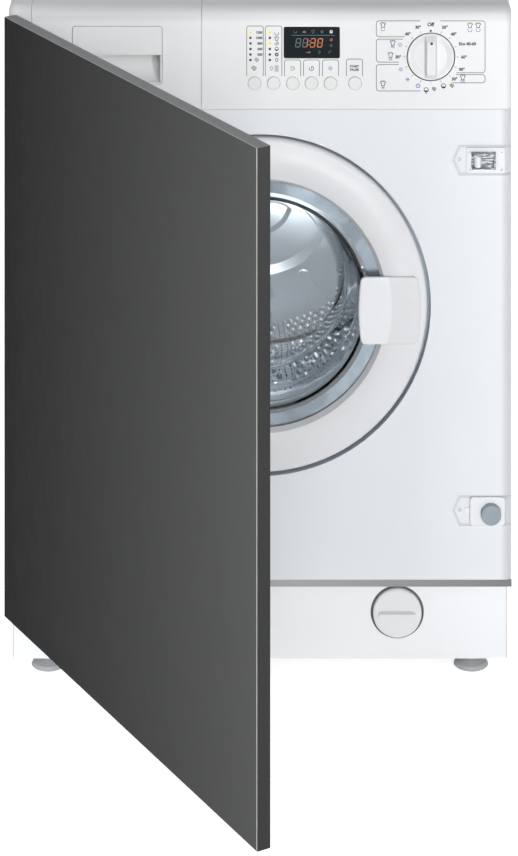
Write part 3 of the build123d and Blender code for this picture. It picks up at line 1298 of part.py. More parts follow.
def tub_bearings():
    """Two sealed ball bearings and the lip seal in the tub hub."""
    group = []
    for y0, width in ((tub_back_y - 1.0, 15.0), (hub_back_y - 16.0, 14.0)):
        inner, outer = shaft_radius + 0.05, bearing_radius - 0.05
        third = (outer - inner) / 3
        group.append(turned_y([(inner, y0), (inner + third, y0), (inner + third, y0 + 1), (outer - third, y0 + 1),
                               (outer - third, y0), (outer, y0), (outer, y0 + width), (outer - third, y0 + width),
                               (outer - third, y0 + width - 1), (inner + third, y0 + width - 1),
                               (inner + third, y0 + width), (inner, y0 + width)], z=porthole_z))
    seal_y = tub_back_y - 7.6
    group.append(turned_y([(bearing_radius - 0.05, seal_y), (shaft_radius + 2.5, seal_y), (shaft_radius + 0.15, seal_y + 3),
                           (shaft_radius + 2.5, seal_y + 6), (bearing_radius - 0.05, seal_y + 6)], z=porthole_z))
    return Compound(group)


def damper_rods():
    """Two damper rods with an eye at the tub and a friction head in the tube."""
    group = []
    for x in (-damper_x, damper_x):
        rod = rod_z(x, damper_y, damper_rod_radius, damper_rod_bottom, damper_lug_low - 0.05)
        collar = rod_z(x, damper_y, damper_rod_radius + 4, damper_lug_low - 8, damper_lug_low - 0.05)
        group.append(rod + collar)
    return Compound(group)


def dryer_duct():
    """Drying air duct: fan volute behind the tub, heater channel on top, elbow down to the gasket."""
    top, low = duct_top, duct_bottom
    channel = block(duct_left, duct_right, duct_front_y, fan_y, low, top)
    volute = rod_z(fan_x, fan_y, fan_housing_radius, low, top)
    duct = fillet((channel + volute).edges().filter_by(Axis.Z).filter_by(lambda e: e.center().Y < 300), 12.0)
    duct -= rod_z(fan_x, fan_y, fan_housing_radius - 4, low + 4, top - 4)
    duct += rod_z(fan_x, fan_y, 27.0, low - 62.0, low)
    duct -= rod_z(fan_x, fan_y, fan_shaft_radius + 0.3, low - 30.0, low + 5)
    neck = loft([Pos((duct_left + duct_right) / 2, duct_front_y + 16, low + 1) * Rectangle(60, 28),
                 Pos(12, duct_front_y + 12, porthole_z + tub_mouth_radius + 16) * Rectangle(72, 18)])
    duct += neck
    for step in range(5):
        y = duct_front_y + 60 + 46 * step
        duct += block(duct_left + 6, duct_right - 6, y, y + 2.0, top, top + 2.0)
    for y in duct_foot_places:
        for x in (duct_left + 12, duct_right - 40):
            duct += block(x, x + 16, y, y + 12, porthole_z + 200, low + 1)
    return duct - rod_y(0, porthole_z, tub_radius + seat_gap, duct_foot_places[0] - 2, tub_back_y)


def fan_wheel():
    """Drying fan wheel: back plate, hub and a ring of forward-curved blades."""
    low = duct_bottom + 6.0
    wheel = turned_z([(0, low), (fan_wheel_radius, low), (fan_wheel_radius, low + 1.6), (16, low + 1.6),
                      (9, low + 12), (0, low + 12)], fan_x, fan_y)
    for step in range(fan_blade_count):
        blade = Pos(fan_wheel_radius - 7, 0, low + 1) * Rot(0, 0, 35) * Box(11, 1.4, fan_blade_height,
                                                                           align=(Align.CENTER, Align.CENTER, Align.MIN))
        wheel += Pos(fan_x, fan_y, 0) * Rot(0, 0, 360 / fan_blade_count * step) * blade
    return wheel + rod_z(fan_x, fan_y, fan_shaft_radius, duct_bottom - 29.0, low + 1)


# Furniture door

def opened(shape):
    """Turn a piece of the closed furniture door about its hinge pins to the open resting angle."""
    to_pin = Pos(door_pin_x, door_pin_y, 0)
    return to_pin * Rot(0, 0, -door_open_angle) * Pos(-door_pin_x, -door_pin_y, 0) * shape


def furniture_panel():
    """Laminated furniture panel with two bored cups in its back face."""
    back_y = -door_gap
    front_y = back_y - door_thickness
    panel = block(-door_width / 2, door_width / 2, front_y, back_y, door_bottom, door_bottom + door_height)
    front = panel.faces().sort_by(Axis.Y)[0]
    panel = chamfer(front.edges(), door_edge_round)
    for z in (station_lower_z, station_upper_z):
        panel -= rod_y(cup_x, z, cup_radius, back_y - cup_depth, back_y + 1)
    return opened(panel)


def furniture_fittings():
    """Hinge cups with their pins, and the strike plate for the roller catch."""
    group = []
    back_y = -door_gap
    for z in (station_lower_z, station_upper_z):
        outer = cup_radius - 0.05
        inner = outer - cup_wall
        cup = rod_y(cup_x, z, outer, back_y - cup_depth + 0.05, back_y + cup_flange)
        cup += rounded_plate(-door_width / 2 + 2.0, cup_x + 12.0, z - 31.0, z + 31.0, 4.0, back_y + 0.05,
                             back_y + cup_flange)
        cup -= rod_y(cup_x, z, inner, back_y - cup_depth + cup_wall, back_y + 5)
        pin = rod_z(door_pin_x, door_pin_y, door_pin_radius, z - 11.5, z + 11.5)
        for sign in (-1, 1):
            cup -= rod_y(cup_x - 4.0, z + sign * 25.0, 2.2, back_y - 1, back_y + 5)
            cheek_z = z + sign * 9.6
            cheek = block(door_pin_x - 3.0, door_pin_x + 3.4, back_y - cup_depth + 0.6, back_y - 0.5,
                          cheek_z - 1.0, cheek_z + 1.0)
            cup += cheek & rod_y(cup_x, z, inner + 0.1, back_y - cup_depth, back_y)
        group.append(opened(cup + pin))
    z = station_upper_z
    strike = rounded_plate(strike_x - 13.0, strike_x + 13.0, z - 20.0, z + 20.0, 3.0, back_y + 0.05, back_y + 1.6)
    tongue = block(strike_x - 1.0, strike_x + 1.0, back_y + 1, strike_reach_y, z - 5.5, z + 5.5)
    strike += fillet(tongue.edges().filter_by(Axis.Z).sort_by(Axis.Y)[-2:], 0.9)
    for sign in (-1, 1):
        strike -= rod_y(strike_x, z + sign * 14.0, 2.0, back_y - 1, back_y + 5)
    group.append(opened(strike))
    return Compound(group)


# Fittings on the rear and in the base

def water_inlet_valve():
    """Water inlet valve with its threaded port through the rear sheet and a coil on top."""
    inner_y = rear_y - rear_sheet - seat_gap
    body = turned_y([(0, inner_y - 34), (12, inner_y - 34), (17, inner_y - 28), (17, inner_y - 8),
                     (valve_body_radius + 5, inner_y - 8), (valve_body_radius + 5, inner_y), (valve_body_radius, inner_y),
                     (valve_body_radius, rear_y + 1.5), (inlet_thread_radius, rear_y + 1.5),
                     (inlet_thread_radius, rear_y + inlet_length), (inlet_thread_radius - 4, rear_y + inlet_length),
                     (inlet_thread_radius - 4, rear_y - 6), (0, rear_y - 6)], valve_x, valve_z)
    coil = block(valve_x - 12, valve_x + 12, inner_y - 32, inner_y - 10, valve_z - 44, valve_z - 12)
    coil = fillet(coil.edges().filter_by(Axis.Z), 3.0)
    return body + coil + rod_y(valve_x, valve_z - 2, 7.0, inner_y - 50, inner_y - 30)


def drain_outlet():
    """Drain elbow with a barbed spigot on the rear sheet."""
    inner_y = rear_y - rear_sheet - seat_gap
    out = rear_y + drain_spigot_length
    r = drain_spigot_radius
    spigot = turned_y([(drain_radius + 5, inner_y - 3), (drain_radius + 5, inner_y), (drain_radius, inner_y),
                       (drain_radius, rear_y + 2), (r, rear_y + 2), (r, out - 12), (r - 0.9, out - 7), (r, out - 7),
                       (r - 0.9, out - 2), (r, out - 2), (r, out), (r - 2.2, out), (r - 2.2, inner_y - 30),
                       (r + 0.5, inner_y - 30), (r + 0.5, inner_y - 3)], drain_x, drain_z)
    return spigot


def cable_gland():
    """Mains cable gland: a flanged grommet with a hexagon cap and an open bore."""
    inner_y = rear_y - rear_sheet - seat_gap
    gland = turned_y([(gland_bore_radius, inner_y - 12), (gland_radius + 3, inner_y - 12), (gland_radius + 3, inner_y),
                      (gland_radius, inner_y), (gland_radius, rear_y + 3), (gland_radius - 2.5, rear_y + 16),
                      (gland_bore_radius, rear_y + 16)], gland_x, gland_z)
    nut = Pos(gland_x, rear_y + 5.5, gland_z) * Rot(90, 0, 0) * extrude(RegularPolygon(gland_radius + 2.5, 6), 5.0)
    return gland + nut - rod_y(gland_x, gland_z, gland_bore_radius, inner_y - 20, rear_y + 30)


def drain_pump():
    """Drain pump: a filter tube behind the plinth, a volute and the pump motor beside it."""
    y0 = plinth_recess + base_wall + seat_gap
    y1 = y0 + filter_depth
    r = filter_tube_radius
    tube = turned_y([(r, y0), (r, y1), (0, y1), (0, y1 - 3), (r - 3, y1 - 3), (r - 3, y0)], filter_x, filter_z)
    tube += turned_y([(r - 3, y0 + 4), (r + 5, y0 + 4), (r + 5, y0 + 7), (r - 3, y0 + 7)], filter_x, filter_z) - rod_y(
        filter_x, filter_z, r - 3, y0, y1 - 3)
    inlet = rod_z(filter_x - 6, y1 - 22, 17.0, filter_z + 20, filter_z + 52) - rod_z(
        filter_x - 6, y1 - 22, 14.5, filter_z, filter_z + 60)
    volute = rod_x(y1 - 24, filter_z, 24.0, filter_x - 62, filter_x - 26)
    motor = rod_x(y1 - 24, filter_z, 19.0, filter_x - 108, filter_x - 62)
    stack = block(filter_x - 100, filter_x - 72, y1 - 46, y1 - 2, filter_z - 24, filter_z + 24)
    outlet = rod_z(filter_x - 40, y1 - 24, 9.0, filter_z + 18, filter_z + 48)
    pump = tube + inlet + volute + motor + stack + outlet
    pump -= rod_y(filter_x, filter_z, r - 3, y0 - 1, y1 - 3)
    foot_plate = block(filter_x - 96, filter_x - 76, y1 - 40, y1 - 8, base_clearance + base_wall + 0.05,
                       filter_z - 23)
    return pump + foot_plate


def filter_cap():
    """Screw-in drain filter: a grip knob in front of the plinth wall and a slotted basket."""
    y0 = plinth_recess - 6.0
    cap = turned_y([(0, y0), (filter_cap_radius - 1.5, y0), (filter_cap_radius, y0 + 1.5),
                    (filter_cap_radius, plinth_recess + 1.0), (filter_basket_radius, plinth_recess + 1.0),
                    (filter_basket_radius, plinth_recess + 14), (filter_basket_radius - 4, plinth_recess + 14),
                    (filter_basket_radius - 4, plinth_recess + filter_depth - 16),
                    (filter_basket_radius - 7, plinth_recess + filter_depth - 16),
                    (filter_basket_radius - 7, plinth_recess + 12), (0, plinth_recess + 12)], filter_x, filter_z)
    grip = block(filter_x - 22, filter_x + 22, y0 - 9.0, y0 + 0.5, filter_z - 3.5, filter_z + 3.5)
    cap += fillet(grip.edges().filter_by(Axis.Y), 3.0)
    for step in range(6):
        slot = block(filter_basket_radius - 9, filter_basket_radius, plinth_recess + 22,
                     plinth_recess + filter_depth - 22, -3.5, 3.5)
        cap -= Pos(filter_x, 0, filter_z) * Rot(0, 60 * step, 0) * slot
    return cap


def build():
    """Make every piece and write one file for each."""
    save("side_panels", side_panels())
    save("rear_panel", rear_panel())
    save("rear_cover", rear_cover())
    save("top_plate", top_plate())
    save("top_rails", top_rails())
    save("front_panel", front_panel())
    save("base_frame", base_frame())
    for number, (x, y) in enumerate(foot_places, start=1):
        save(f"foot_{number}", foot(x, y))
    save("control_fascia", control_fascia())
    save("dispenser_fascia", dispenser_fascia())
    save("display_window", display_window())
    for number, x in enumerate(button_places, start=1):
        save(f"button_{number}", button(x))
    save("programme_knob", programme_knob())
    save("detergent_drawer", detergent_drawer())
    save("dispenser_housing", dispenser_housing())
    save("door_lock", door_lock())
    save("porthole_hinge_bracket", porthole_hinge_bracket())
    save("furniture_hinge_arms", furniture_hinge_arms())
    save("door_catch", door_catch())
    save("catch_roller", catch_roller())
    save("buffer_cover", buffer_cover())
    save("buffer_pad", buffer_pad())
    for piece in (door_ring, door_inner_ring, door_glass, door_handle, latch_hook, door_gasket,
                  drum_shell, drum_paddles, drum_spider, drum_pulley, tub_front, tub_rear,
                  counterweights, heater, drive_motor, motor_pulley, drive_belt, tub_bearings,
                  damper_rods, dryer_duct, fan_wheel, furniture_panel, furniture_fittings,
                  water_inlet_valve, drain_outlet, cable_gland, drain_pump, filter_cap):
        save(piece.__name__, piece())
    save("damper_cylinders", damper_cylinders())
    save("suspension_springs", suspension_springs())
    os.makedirs("parts", exist_ok=True)
    for name, shape in parts.items():
        export_step(shape, f"parts/{name}.step")


build()
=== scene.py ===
"""Dresses a built-in washer dryer whose furniture door stands open.

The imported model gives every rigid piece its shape. This scene gives each piece its finish,
adds printing, lamps, screws and pressed relief, and sets up the studio round it.
Lengths are metres, and the product's own sizes are mostly written as millimetres times MM.
"""
import logging
import math
from dataclasses import dataclass, field
from enum import Enum
from typing import Callable, Iterable, Optional, Sequence

import bmesh
import bpy
from mathutils import Matrix, Vector


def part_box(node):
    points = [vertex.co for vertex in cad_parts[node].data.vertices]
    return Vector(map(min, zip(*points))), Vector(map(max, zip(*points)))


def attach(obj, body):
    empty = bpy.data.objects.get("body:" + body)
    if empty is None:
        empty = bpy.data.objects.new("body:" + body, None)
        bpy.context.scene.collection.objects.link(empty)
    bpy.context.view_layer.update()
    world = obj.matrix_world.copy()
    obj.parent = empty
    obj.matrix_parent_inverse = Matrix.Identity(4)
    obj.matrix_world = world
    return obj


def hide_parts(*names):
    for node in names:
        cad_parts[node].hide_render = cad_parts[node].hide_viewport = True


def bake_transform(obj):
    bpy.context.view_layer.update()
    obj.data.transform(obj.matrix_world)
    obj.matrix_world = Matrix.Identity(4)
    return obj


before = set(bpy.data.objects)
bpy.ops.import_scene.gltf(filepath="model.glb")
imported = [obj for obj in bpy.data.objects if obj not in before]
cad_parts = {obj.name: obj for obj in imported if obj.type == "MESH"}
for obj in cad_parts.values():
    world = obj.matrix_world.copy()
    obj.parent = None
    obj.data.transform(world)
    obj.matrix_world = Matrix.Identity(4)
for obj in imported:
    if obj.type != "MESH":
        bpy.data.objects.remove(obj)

LOG = logging.getLogger("washer_dryer")
MM = 0.001
Point = tuple[float, float]
Colour = tuple[float, float, float]
Socket = bpy.types.NodeSocket

PORTHOLE_Z = 465.6 * MM
RANGE_SLOTS = ("From Min", "From Max", "To Min", "To Max")


def tint(code: str) -> Colour:
    """Turns a paint code such as "e4e6e9" into linear colour.

    Args:
        code: six hexadecimal digits, red, green and blue.

    Returns:
        The linear red, green and blue.
    """
    parts = [int(code[i:i + 2], 16) / 255 for i in (0, 2, 4)]
    return tuple(c / 12.92 if c <= 0.04045 else ((c + 0.055) / 1.055) ** 2.4 for c in parts)


# Finishes

class Shade:
    """One material's node tree, put together node by node round its surface shader."""

    def __init__(self, name: str) -> None:
        """Starts a material of that name with a plain surface shader.

        Args:
            name: the material's name.
        """
        self.material = bpy.data.materials.new(name)
        self.material.use_nodes = True
        tree = self.material.node_tree
        self.nodes, self.links = tree.nodes, tree.links
        self.surface = self.nodes["Principled BSDF"]
        self.output = self.nodes["Material Output"]
        self.place = self.nodes.new("ShaderNodeTexCoord").outputs["Object"]

    def fix(self, **constants: float) -> None:
        """Sets plain values on the surface shader; an underscore stands for a space.

        Args:
            constants: socket names and their values.
        """
        for name, value in constants.items():
            self.surface.inputs[name.replace("_", " ")].default_value = value

    def drive(self, name: str, socket: Socket) -> None:
        """Links a node's output to one of the surface shader's sockets.

        Args:
            name: the shader's socket.
            socket: the output that drives it.
        """
        self.links.new(socket, self.surface.inputs[name])

    def maths(self, kind: str, *values: "Socket | float", clamp: bool = False) -> Socket:
        """Adds one arithmetic node.

        Args:
            kind: the operation, such as ADD or SMOOTH_MIN.
            values: its operands, sockets or numbers.
            clamp: whether the result stays between 0 and 1.

        Returns:
            The node's output.
        """
        node = self.nodes.new("ShaderNodeMath")
        node.operation, node.use_clamp = kind, clamp
        for slot, value in zip(node.inputs, values):
            self.feed(slot, value)
        return node.outputs[0]

    def feed(self, slot: Socket, value: "Socket | float") -> None:
        """Links a socket, or sets a number, on an input.

        Args:
            slot: the input.
            value: the socket or number it takes.
        """
        if isinstance(value, bpy.types.NodeSocket):
            self.links.new(value, slot)
        else:
            slot.default_value = value

    def stretched(self, stretch: Sequence[float]) -> Socket:
        """The object's own coordinates, scaled along each axis.

        Args:
            stretch: the factor along X, Y and Z.

        Returns:
            The scaled coordinates.
        """
        node = self.nodes.new("ShaderNodeMapping")
        node.inputs["Scale"].default_value = stretch
        self.links.new(self.place, node.inputs["Vector"])
        return node.outputs[0]

    def noise(self, scale: float, detail: float = 2.0, stretch: Sequence[float] = (1, 1, 1),
              roughness: float = 0.5) -> Socket:
        """A noise pattern in the object's own coordinates.

        Args:
            scale: cells per metre.
            detail: how many finer layers it holds.
            stretch: the factor along each axis, for grain and brushing.
            roughness: the strength of the finer layers.

        Returns:
            The pattern's value.
        """
        node = self.nodes.new("ShaderNodeTexNoise")
        node.inputs["Scale"].default_value = scale
        node.inputs["Detail"].default_value = detail
        node.inputs["Roughness"].default_value = roughness
        self.links.new(self.stretched(stretch), node.inputs["Vector"])
        return node.outputs["Fac"]

    def cells(self, scale: float) -> Socket:
        """A random colour for each cell of a scattered pattern.

        Args:
            scale: cells per metre.

        Returns:
            The colour.
        """
        node = self.nodes.new("ShaderNodeTexVoronoi")
        node.inputs["Scale"].default_value = scale
        self.links.new(self.place, node.inputs["Vector"])
        return node.outputs["Color"]

    def spread(self, value: Socket, low: float, high: float, start: float = 0.0,
               end: float = 1.0) -> Socket:
        """Maps a value from one range to another, held at the ends.

        Args:
            value: the value.
            low: the result at start.
            high: the result at end.
            start: where the range begins.
            end: where it ends.

        Returns:
            The mapped value.
        """
        node = self.nodes.new("ShaderNodeMapRange")
        for slot, number in zip(RANGE_SLOTS, (start, end, low, high)):
            node.inputs[slot].default_value = number
        self.links.new(value, node.inputs["Value"])
        return node.outputs["Result"]

    def mixed(self, share: "Socket | float", first: "Socket | Colour",
              second: "Socket | Colour") -> Socket:
        """Blends two colours.

        Args:
            share: 0 for the first colour, 1 for the second.
            first: the first colour.
            second: the second colour.

        Returns:
            The blended colour.
        """
        node = self.nodes.new("ShaderNodeMix")
        node.data_type = "RGBA"
        self.feed(node.inputs["Factor"], share)
        for slot, value in ((node.inputs[6], first), (node.inputs[7], second)):
            self.feed(slot, value if isinstance(value, bpy.types.NodeSocket) else (*value, 1.0))
        return node.outputs[2]

    def axes(self, of: Optional[Socket] = None) -> tuple[Socket, Socket, Socket]:
        """Splits coordinates into X, Y and Z.

        Args:
            of: the coordinates, or the object's own where left out.

        Returns:
            The three numbers.
        """
        node = self.nodes.new("ShaderNodeSeparateXYZ")
        self.links.new(of or self.place, node.inputs[0])
        return tuple(node.outputs)

    def radius(self, x: float, z: float) -> Socket:
        """Distance in the front plane from an axis along Y.

        Args:
            x: where the axis lies, across.
            z: where it lies, up.

        Returns:
            The distance.
        """
        across, _, up = self.axes()
        dx, dz = self.maths("SUBTRACT", across, x), self.maths("SUBTRACT", up, z)
        squares = [self.maths("MULTIPLY", d, d) for d in (dx, dz)]
        return self.maths("SQRT", self.maths("ADD", *squares))

    def band(self, value: Socket, low: float, high: float, soft: float = 0.0002) -> Socket:
        """1 where a value lies between low and high, 0 elsewhere, with soft borders.

        Args:
            value: the value.
            low: the lower border.
            high: the upper border.
            soft: the width of each border.

        Returns:
            The share, 0 to 1.
        """
        rise = self.spread(value, 0.0, 1.0, low - soft, low + soft)
        fall = self.spread(value, 1.0, 0.0, high - soft, high + soft)
        return self.maths("MULTIPLY", rise, fall)

    def lay_over(self, share: Socket, colour: "Socket | Colour") -> None:
        """Lays a colour over the one that the surface already has.

        Args:
            share: how much of the new colour shows, 0 to 1.
            colour: the new colour.
        """
        earlier = self.surface.inputs["Base Color"].links[0].from_socket
        self.drive("Base Color", self.mixed(share, earlier, colour))

    def relief(self, height: Socket, depth: float, strength: float = 1.0) -> None:
        """Raises the surface by a pattern, on top of the relief it already has.

        Args:
            height: the pattern, 0 to 1.
            depth: its full height in metres.
            strength: how much of it is felt.
        """
        node = self.nodes.new("ShaderNodeBump")
        node.inputs["Strength"].default_value = strength
        node.inputs["Distance"].default_value = depth
        self.links.new(height, node.inputs["Height"])
        earlier = self.surface.inputs["Normal"]
        if earlier.is_linked:
            self.links.new(earlier.links[0].from_socket, node.inputs["Normal"])
        self.links.new(node.outputs[0], earlier)


@dataclass(frozen=True)
class Finish:
    """What every finish has: a name, a colour and a mean roughness."""

    name: str
    colour: Colour
    roughness: float = 0.4

    def material(self) -> bpy.types.Material:
        """Makes the finish's material at its first use.

        Returns:
            The material.
        """
        found = bpy.data.materials.get(self.name)
        if found:
            return found
        shade = Shade(self.name)
        shade.surface.inputs["Base Color"].default_value = (*self.colour, 1.0)
        self.dress(shade)
        return shade.material

    def dress(self, shade: Shade) -> None:
        """Adds the finish's own nodes; each kind of finish has its own."""
        raise NotImplementedError

    def mottled(self, shade: Shade, scale: float, amount: float,
                stretch: Sequence[float] = (1, 1, 1)) -> None:
        """Drives the colour with a slight uneven tone.

        Args:
            shade: the node tree.
            scale: cells per metre.
            amount: how much darker the darkest patch is, 0 to 1.
            stretch: the factor along each axis.
        """
        pattern = shade.noise(scale, 3.0, stretch)
        darker = tuple(c * (1 - amount) for c in self.colour)
        lighter = tuple(min(1.0, c * (1 + amount * 0.4)) for c in self.colour)
        shade.drive("Base Color", shade.mixed(shade.spread(pattern, 0.0, 1.0, 0.3, 0.7), darker, lighter))

    def uneven(self, shade: Shade, scale: float, smoother: float, rougher: float) -> None:
        """Drives the roughness with a slight unevenness.

        Args:
            shade: the node tree.
            scale: cells per metre.
            smoother: how far the roughness falls below its mean.
            rougher: how far it rises above.
        """
        shade.drive("Roughness", shade.spread(shade.noise(scale), self.roughness - smoother,
                                              self.roughness + rougher))

    def paint_shade(self, shade: Shade, share: Socket, depth: float) -> None:
        """Paints shade into the colour along a rounded bend or past an edge.

        Args:
            shade: the node tree.
            share: where the shade is painted, 0 to 1.
            depth: the part of the colour that is left where the share is 1.
        """
        shade.lay_over(share, tuple(c * depth for c in self.colour))


@dataclass(frozen=True)
class Enamel(Finish):
    """Baked white enamel on sheet steel, with a faint orange peel."""

    def dress(self, shade: Shade) -> None:
        """Adds orange peel, a nearly even tone and a soft gloss."""
        self.mottled(shade, 9.0, 0.012)
        peel = shade.noise(520.0, 2.0)
        shade.relief(peel, 0.00004, 0.5)
        self.uneven(shade, 60.0, 0.04, 0.05)
        shade.fix(Specular_IOR_Level=0.18)


@dataclass(frozen=True)
class GroovedEnamel(Enamel):
    """The front panel's enamel: painted slate shade in the porthole recess, pressed in at the stations."""

    # Painted slate shade in the recess round the porthole ring.
    recess: Colour = (0.60, 0.67, 0.73)
    stations: tuple[float, ...] = (637.0 * MM, 223.0 * MM)
    tip: float = 227.0 * MM
    shoulder: float = 235.0 * MM
    half_height: float = 17.7 * MM
    slope: float = 3.0 * MM
    dimple: tuple[float, float] = (235.6 * MM, 0.8 * MM)
    dimple_slope: tuple[float, float] = (1.2 * MM, 2.4 * MM)
    # Where shade is painted in a ring round the dimple.
    dimple_shade_ring: tuple[float, float, float] = (1.4 * MM, 2.2 * MM, 0.4 * MM)
    press_depth: float = 1.6 * MM
    # Painted shade on the pressed slopes and round the dimple, and how much of it shows.
    press_shade: Colour = (0.30, 0.32, 0.35)
    press_shade_share: float = 0.24
    # Painted shade along the bend at the right edge, and the part of the colour left there.
    right_bend_shade: tuple[float, float, float] = (289.0 * MM, 295.0 * MM, 4.5 * MM)
    bend_shade_share: float = 0.68
    # Where the slate shade is painted: radii round the porthole and depths into the recess.
    recess_shade_ring: tuple[float, float] = (190.0 * MM, 202.4 * MM)
    recess_shade_depth: tuple[float, float] = (1.2 * MM, 2.8 * MM)

    def station(self, shade: Shade, height: float) -> tuple[Socket, Socket]:
        """One pressed station, pointed towards the middle, with its locating dimple.

        Args:
            shade: the node tree.
            height: the height of its middle.

        Returns:
            How far the sheet is pressed in, 0 to 1, and where shade is painted on it.
        """
        across, _, up = shade.axes()
        rise = shade.maths("ABSOLUTE", shade.maths("SUBTRACT", up, height))
        side = self.shoulder - self.tip
        length = math.hypot(side, self.half_height)
        slant = shade.maths("SUBTRACT", shade.maths("MULTIPLY", rise, side / length),
                            shade.maths("MULTIPLY", shade.maths("SUBTRACT", across, self.tip),
                                        self.half_height / length))
        edge = shade.maths("MAXIMUM", shade.maths("SUBTRACT", rise, self.half_height), slant)
        x, lift = self.dimple
        dot = shade.radius(x, height + lift)
        pressed = shade.maths("ADD", shade.spread(edge, 1.0, 0.0, -self.slope, self.slope * 0.2),
                              shade.spread(dot, 0.6, 0.0, *self.dimple_slope))
        painted_dark = shade.maths("ADD", shade.band(edge, -self.slope, 0.0, 1.0 * MM),
                           shade.band(dot, *self.dimple_shade_ring))
        return pressed, painted_dark

    def dress(self, shade: Shade) -> None:
        """Paints slate shade in the porthole recess; presses the stations and paints shade on their
        slopes.
        """
        Enamel.dress(self, shade)
        for height in self.stations:
            pressed, painted_dark = self.station(shade, height)
            # Painted shade on the slopes and round the dimple.
            shade.lay_over(shade.maths("MULTIPLY", painted_dark, self.press_shade_share), self.press_shade)
            shade.relief(shade.maths("SUBTRACT", 1.0, pressed), self.press_depth)
        across, depth, _ = shade.axes()
        # Painted shade along the right bend.
        self.paint_shade(shade, shade.band(across, *self.right_bend_shade), self.bend_shade_share)
        # Painted slate shade in the recess round the porthole ring.
        inside = shade.band(shade.radius(0.0, PORTHOLE_Z), *self.recess_shade_ring)
        painted_dark = shade.spread(depth, 0.0, 1.0, *self.recess_shade_depth)
        shade.lay_over(shade.maths("MULTIPLY", inside, painted_dark), self.recess)


@dataclass(frozen=True)
class HemEnamel(Enamel):
    """Pale base paint with the mid-grey hem band along its upper edge."""

    hem: Colour = (0.42, 0.425, 0.43)
    hem_bottom: float = 132.4 * MM
    hem_depth: float = 24.0 * MM
    # Where painted shade darkens the hem, from its left towards its right corner.
    shade_drift: tuple[float, float] = (20.0 * MM, 297.0 * MM)

    def dress(self, shade: Shade) -> None:
        """Paints the hem by height and depth; painted shade darkens it slightly towards the right corner.
        """
        Enamel.dress(self, shade)
        across, depth, up = shade.axes()
        above = shade.spread(up, 0.0, 1.0, self.hem_bottom - 0.3 * MM, self.hem_bottom)
        before = shade.spread(depth, 1.0, 0.0, self.hem_depth, self.hem_depth + 1.0 * MM)
        band = shade.maths("MULTIPLY", above, before)
        # The painted shade at the hem's right corner.
        darker = tuple(c * 0.5 for c in self.hem)
        shade.lay_over(band, shade.mixed(shade.spread(across, 0.0, 1.0, *self.shade_drift), self.hem, darker))


@dataclass(frozen=True)
class Moulding(Finish):
    """Injection-moulded plastic with a fine spark-eroded grain."""

    grain: float = 0.00003
    gloss: float = 0.2

    def dress(self, shade: Shade) -> None:
        """Adds the grain and a slightly uneven gloss."""
        self.mottled(shade, 14.0, 0.015)
        shade.relief(shade.noise(1500.0, 1.0), self.grain, 0.6)
        self.uneven(shade, 90.0, 0.05, 0.06)
        shade.fix(Specular_IOR_Level=self.gloss)


@dataclass(frozen=True)
class BentMoulding(Moulding):
    """A fascia's moulding with painted shade along the bend at its top."""

    # Where shade is painted along the top bend, and the part of the colour left there.
    bend: tuple[float, float] = (799.0 * MM, 816.5 * MM)
    bend_shade_share: float = 0.7

    def dress(self, shade: Shade) -> None:
        """Paints shade along the bend by height."""
        Moulding.dress(self, shade)
        self.paint_shade(shade, shade.spread(shade.axes()[2], 0.0, 1.0, *self.bend), self.bend_shade_share)


@dataclass(frozen=True)
class FasciaMoulding(BentMoulding):
    """The control fascia's moulding, with painted shade in the gaps round the knob and the buttons."""

    knob: tuple[float, float] = (202.0 * MM, 759.0 * MM)
    well: float = 29.2 * MM
    buttons: tuple[float, ...] = (-6.4 * MM, 16.3 * MM, 38.8 * MM, 61.0 * MM, 83.5 * MM, 112.4 * MM)
    button_z: float = 727.9 * MM
    tube: float = 8.3 * MM
    face: float = 0.4 * MM
    well_floor: float = 1.2 * MM
    tube_floor: float = 1.6 * MM
    # Painted shade for the knob's well and the button tubes.
    gap: Colour = field(default_factory=lambda: tint("4a4d50"))

    def dress(self, shade: Shade) -> None:
        """Paints shade into the knob's well and the button tubes below the face."""
        BentMoulding.dress(self, shade)
        _, depth, _ = shade.axes()
        places = [(*self.knob, self.well, self.well_floor)]
        places += [(x, self.button_z, self.tube, self.tube_floor) for x in self.buttons]
        gap_shades = None
        for x, z, radius, floor in places:
            gap = shade.maths("MULTIPLY", shade.band(shade.radius(x, z), 0.0, radius),
                              shade.spread(depth, 0.0, 1.0, self.face, floor))
            gap_shades = gap if gap_shades is None else shade.maths("MAXIMUM", gap_shades, gap)
        # Painted shade in the well and the tubes.
        shade.lay_over(gap_shades, self.gap)


@dataclass(frozen=True)
class HandleMoulding(Moulding):
    """The handle's moulding: past the ring's inner edge its face carries painted shade, a tone deeper."""

    turn: float = 155.5 * MM
    soft: float = 0.4 * MM
    # The part of the colour left where shade is painted past the ring's inner edge.
    outer_shade_share: float = 0.9

    def dress(self, shade: Shade) -> None:
        """Paints shade outside a circle round the porthole's middle."""
        Moulding.dress(self, shade)
        outside = shade.spread(shade.radius(0.0, PORTHOLE_Z), 0.0, 1.0, self.turn - self.soft,
                               self.turn + self.soft)
        self.paint_shade(shade, outside, self.outer_shade_share)


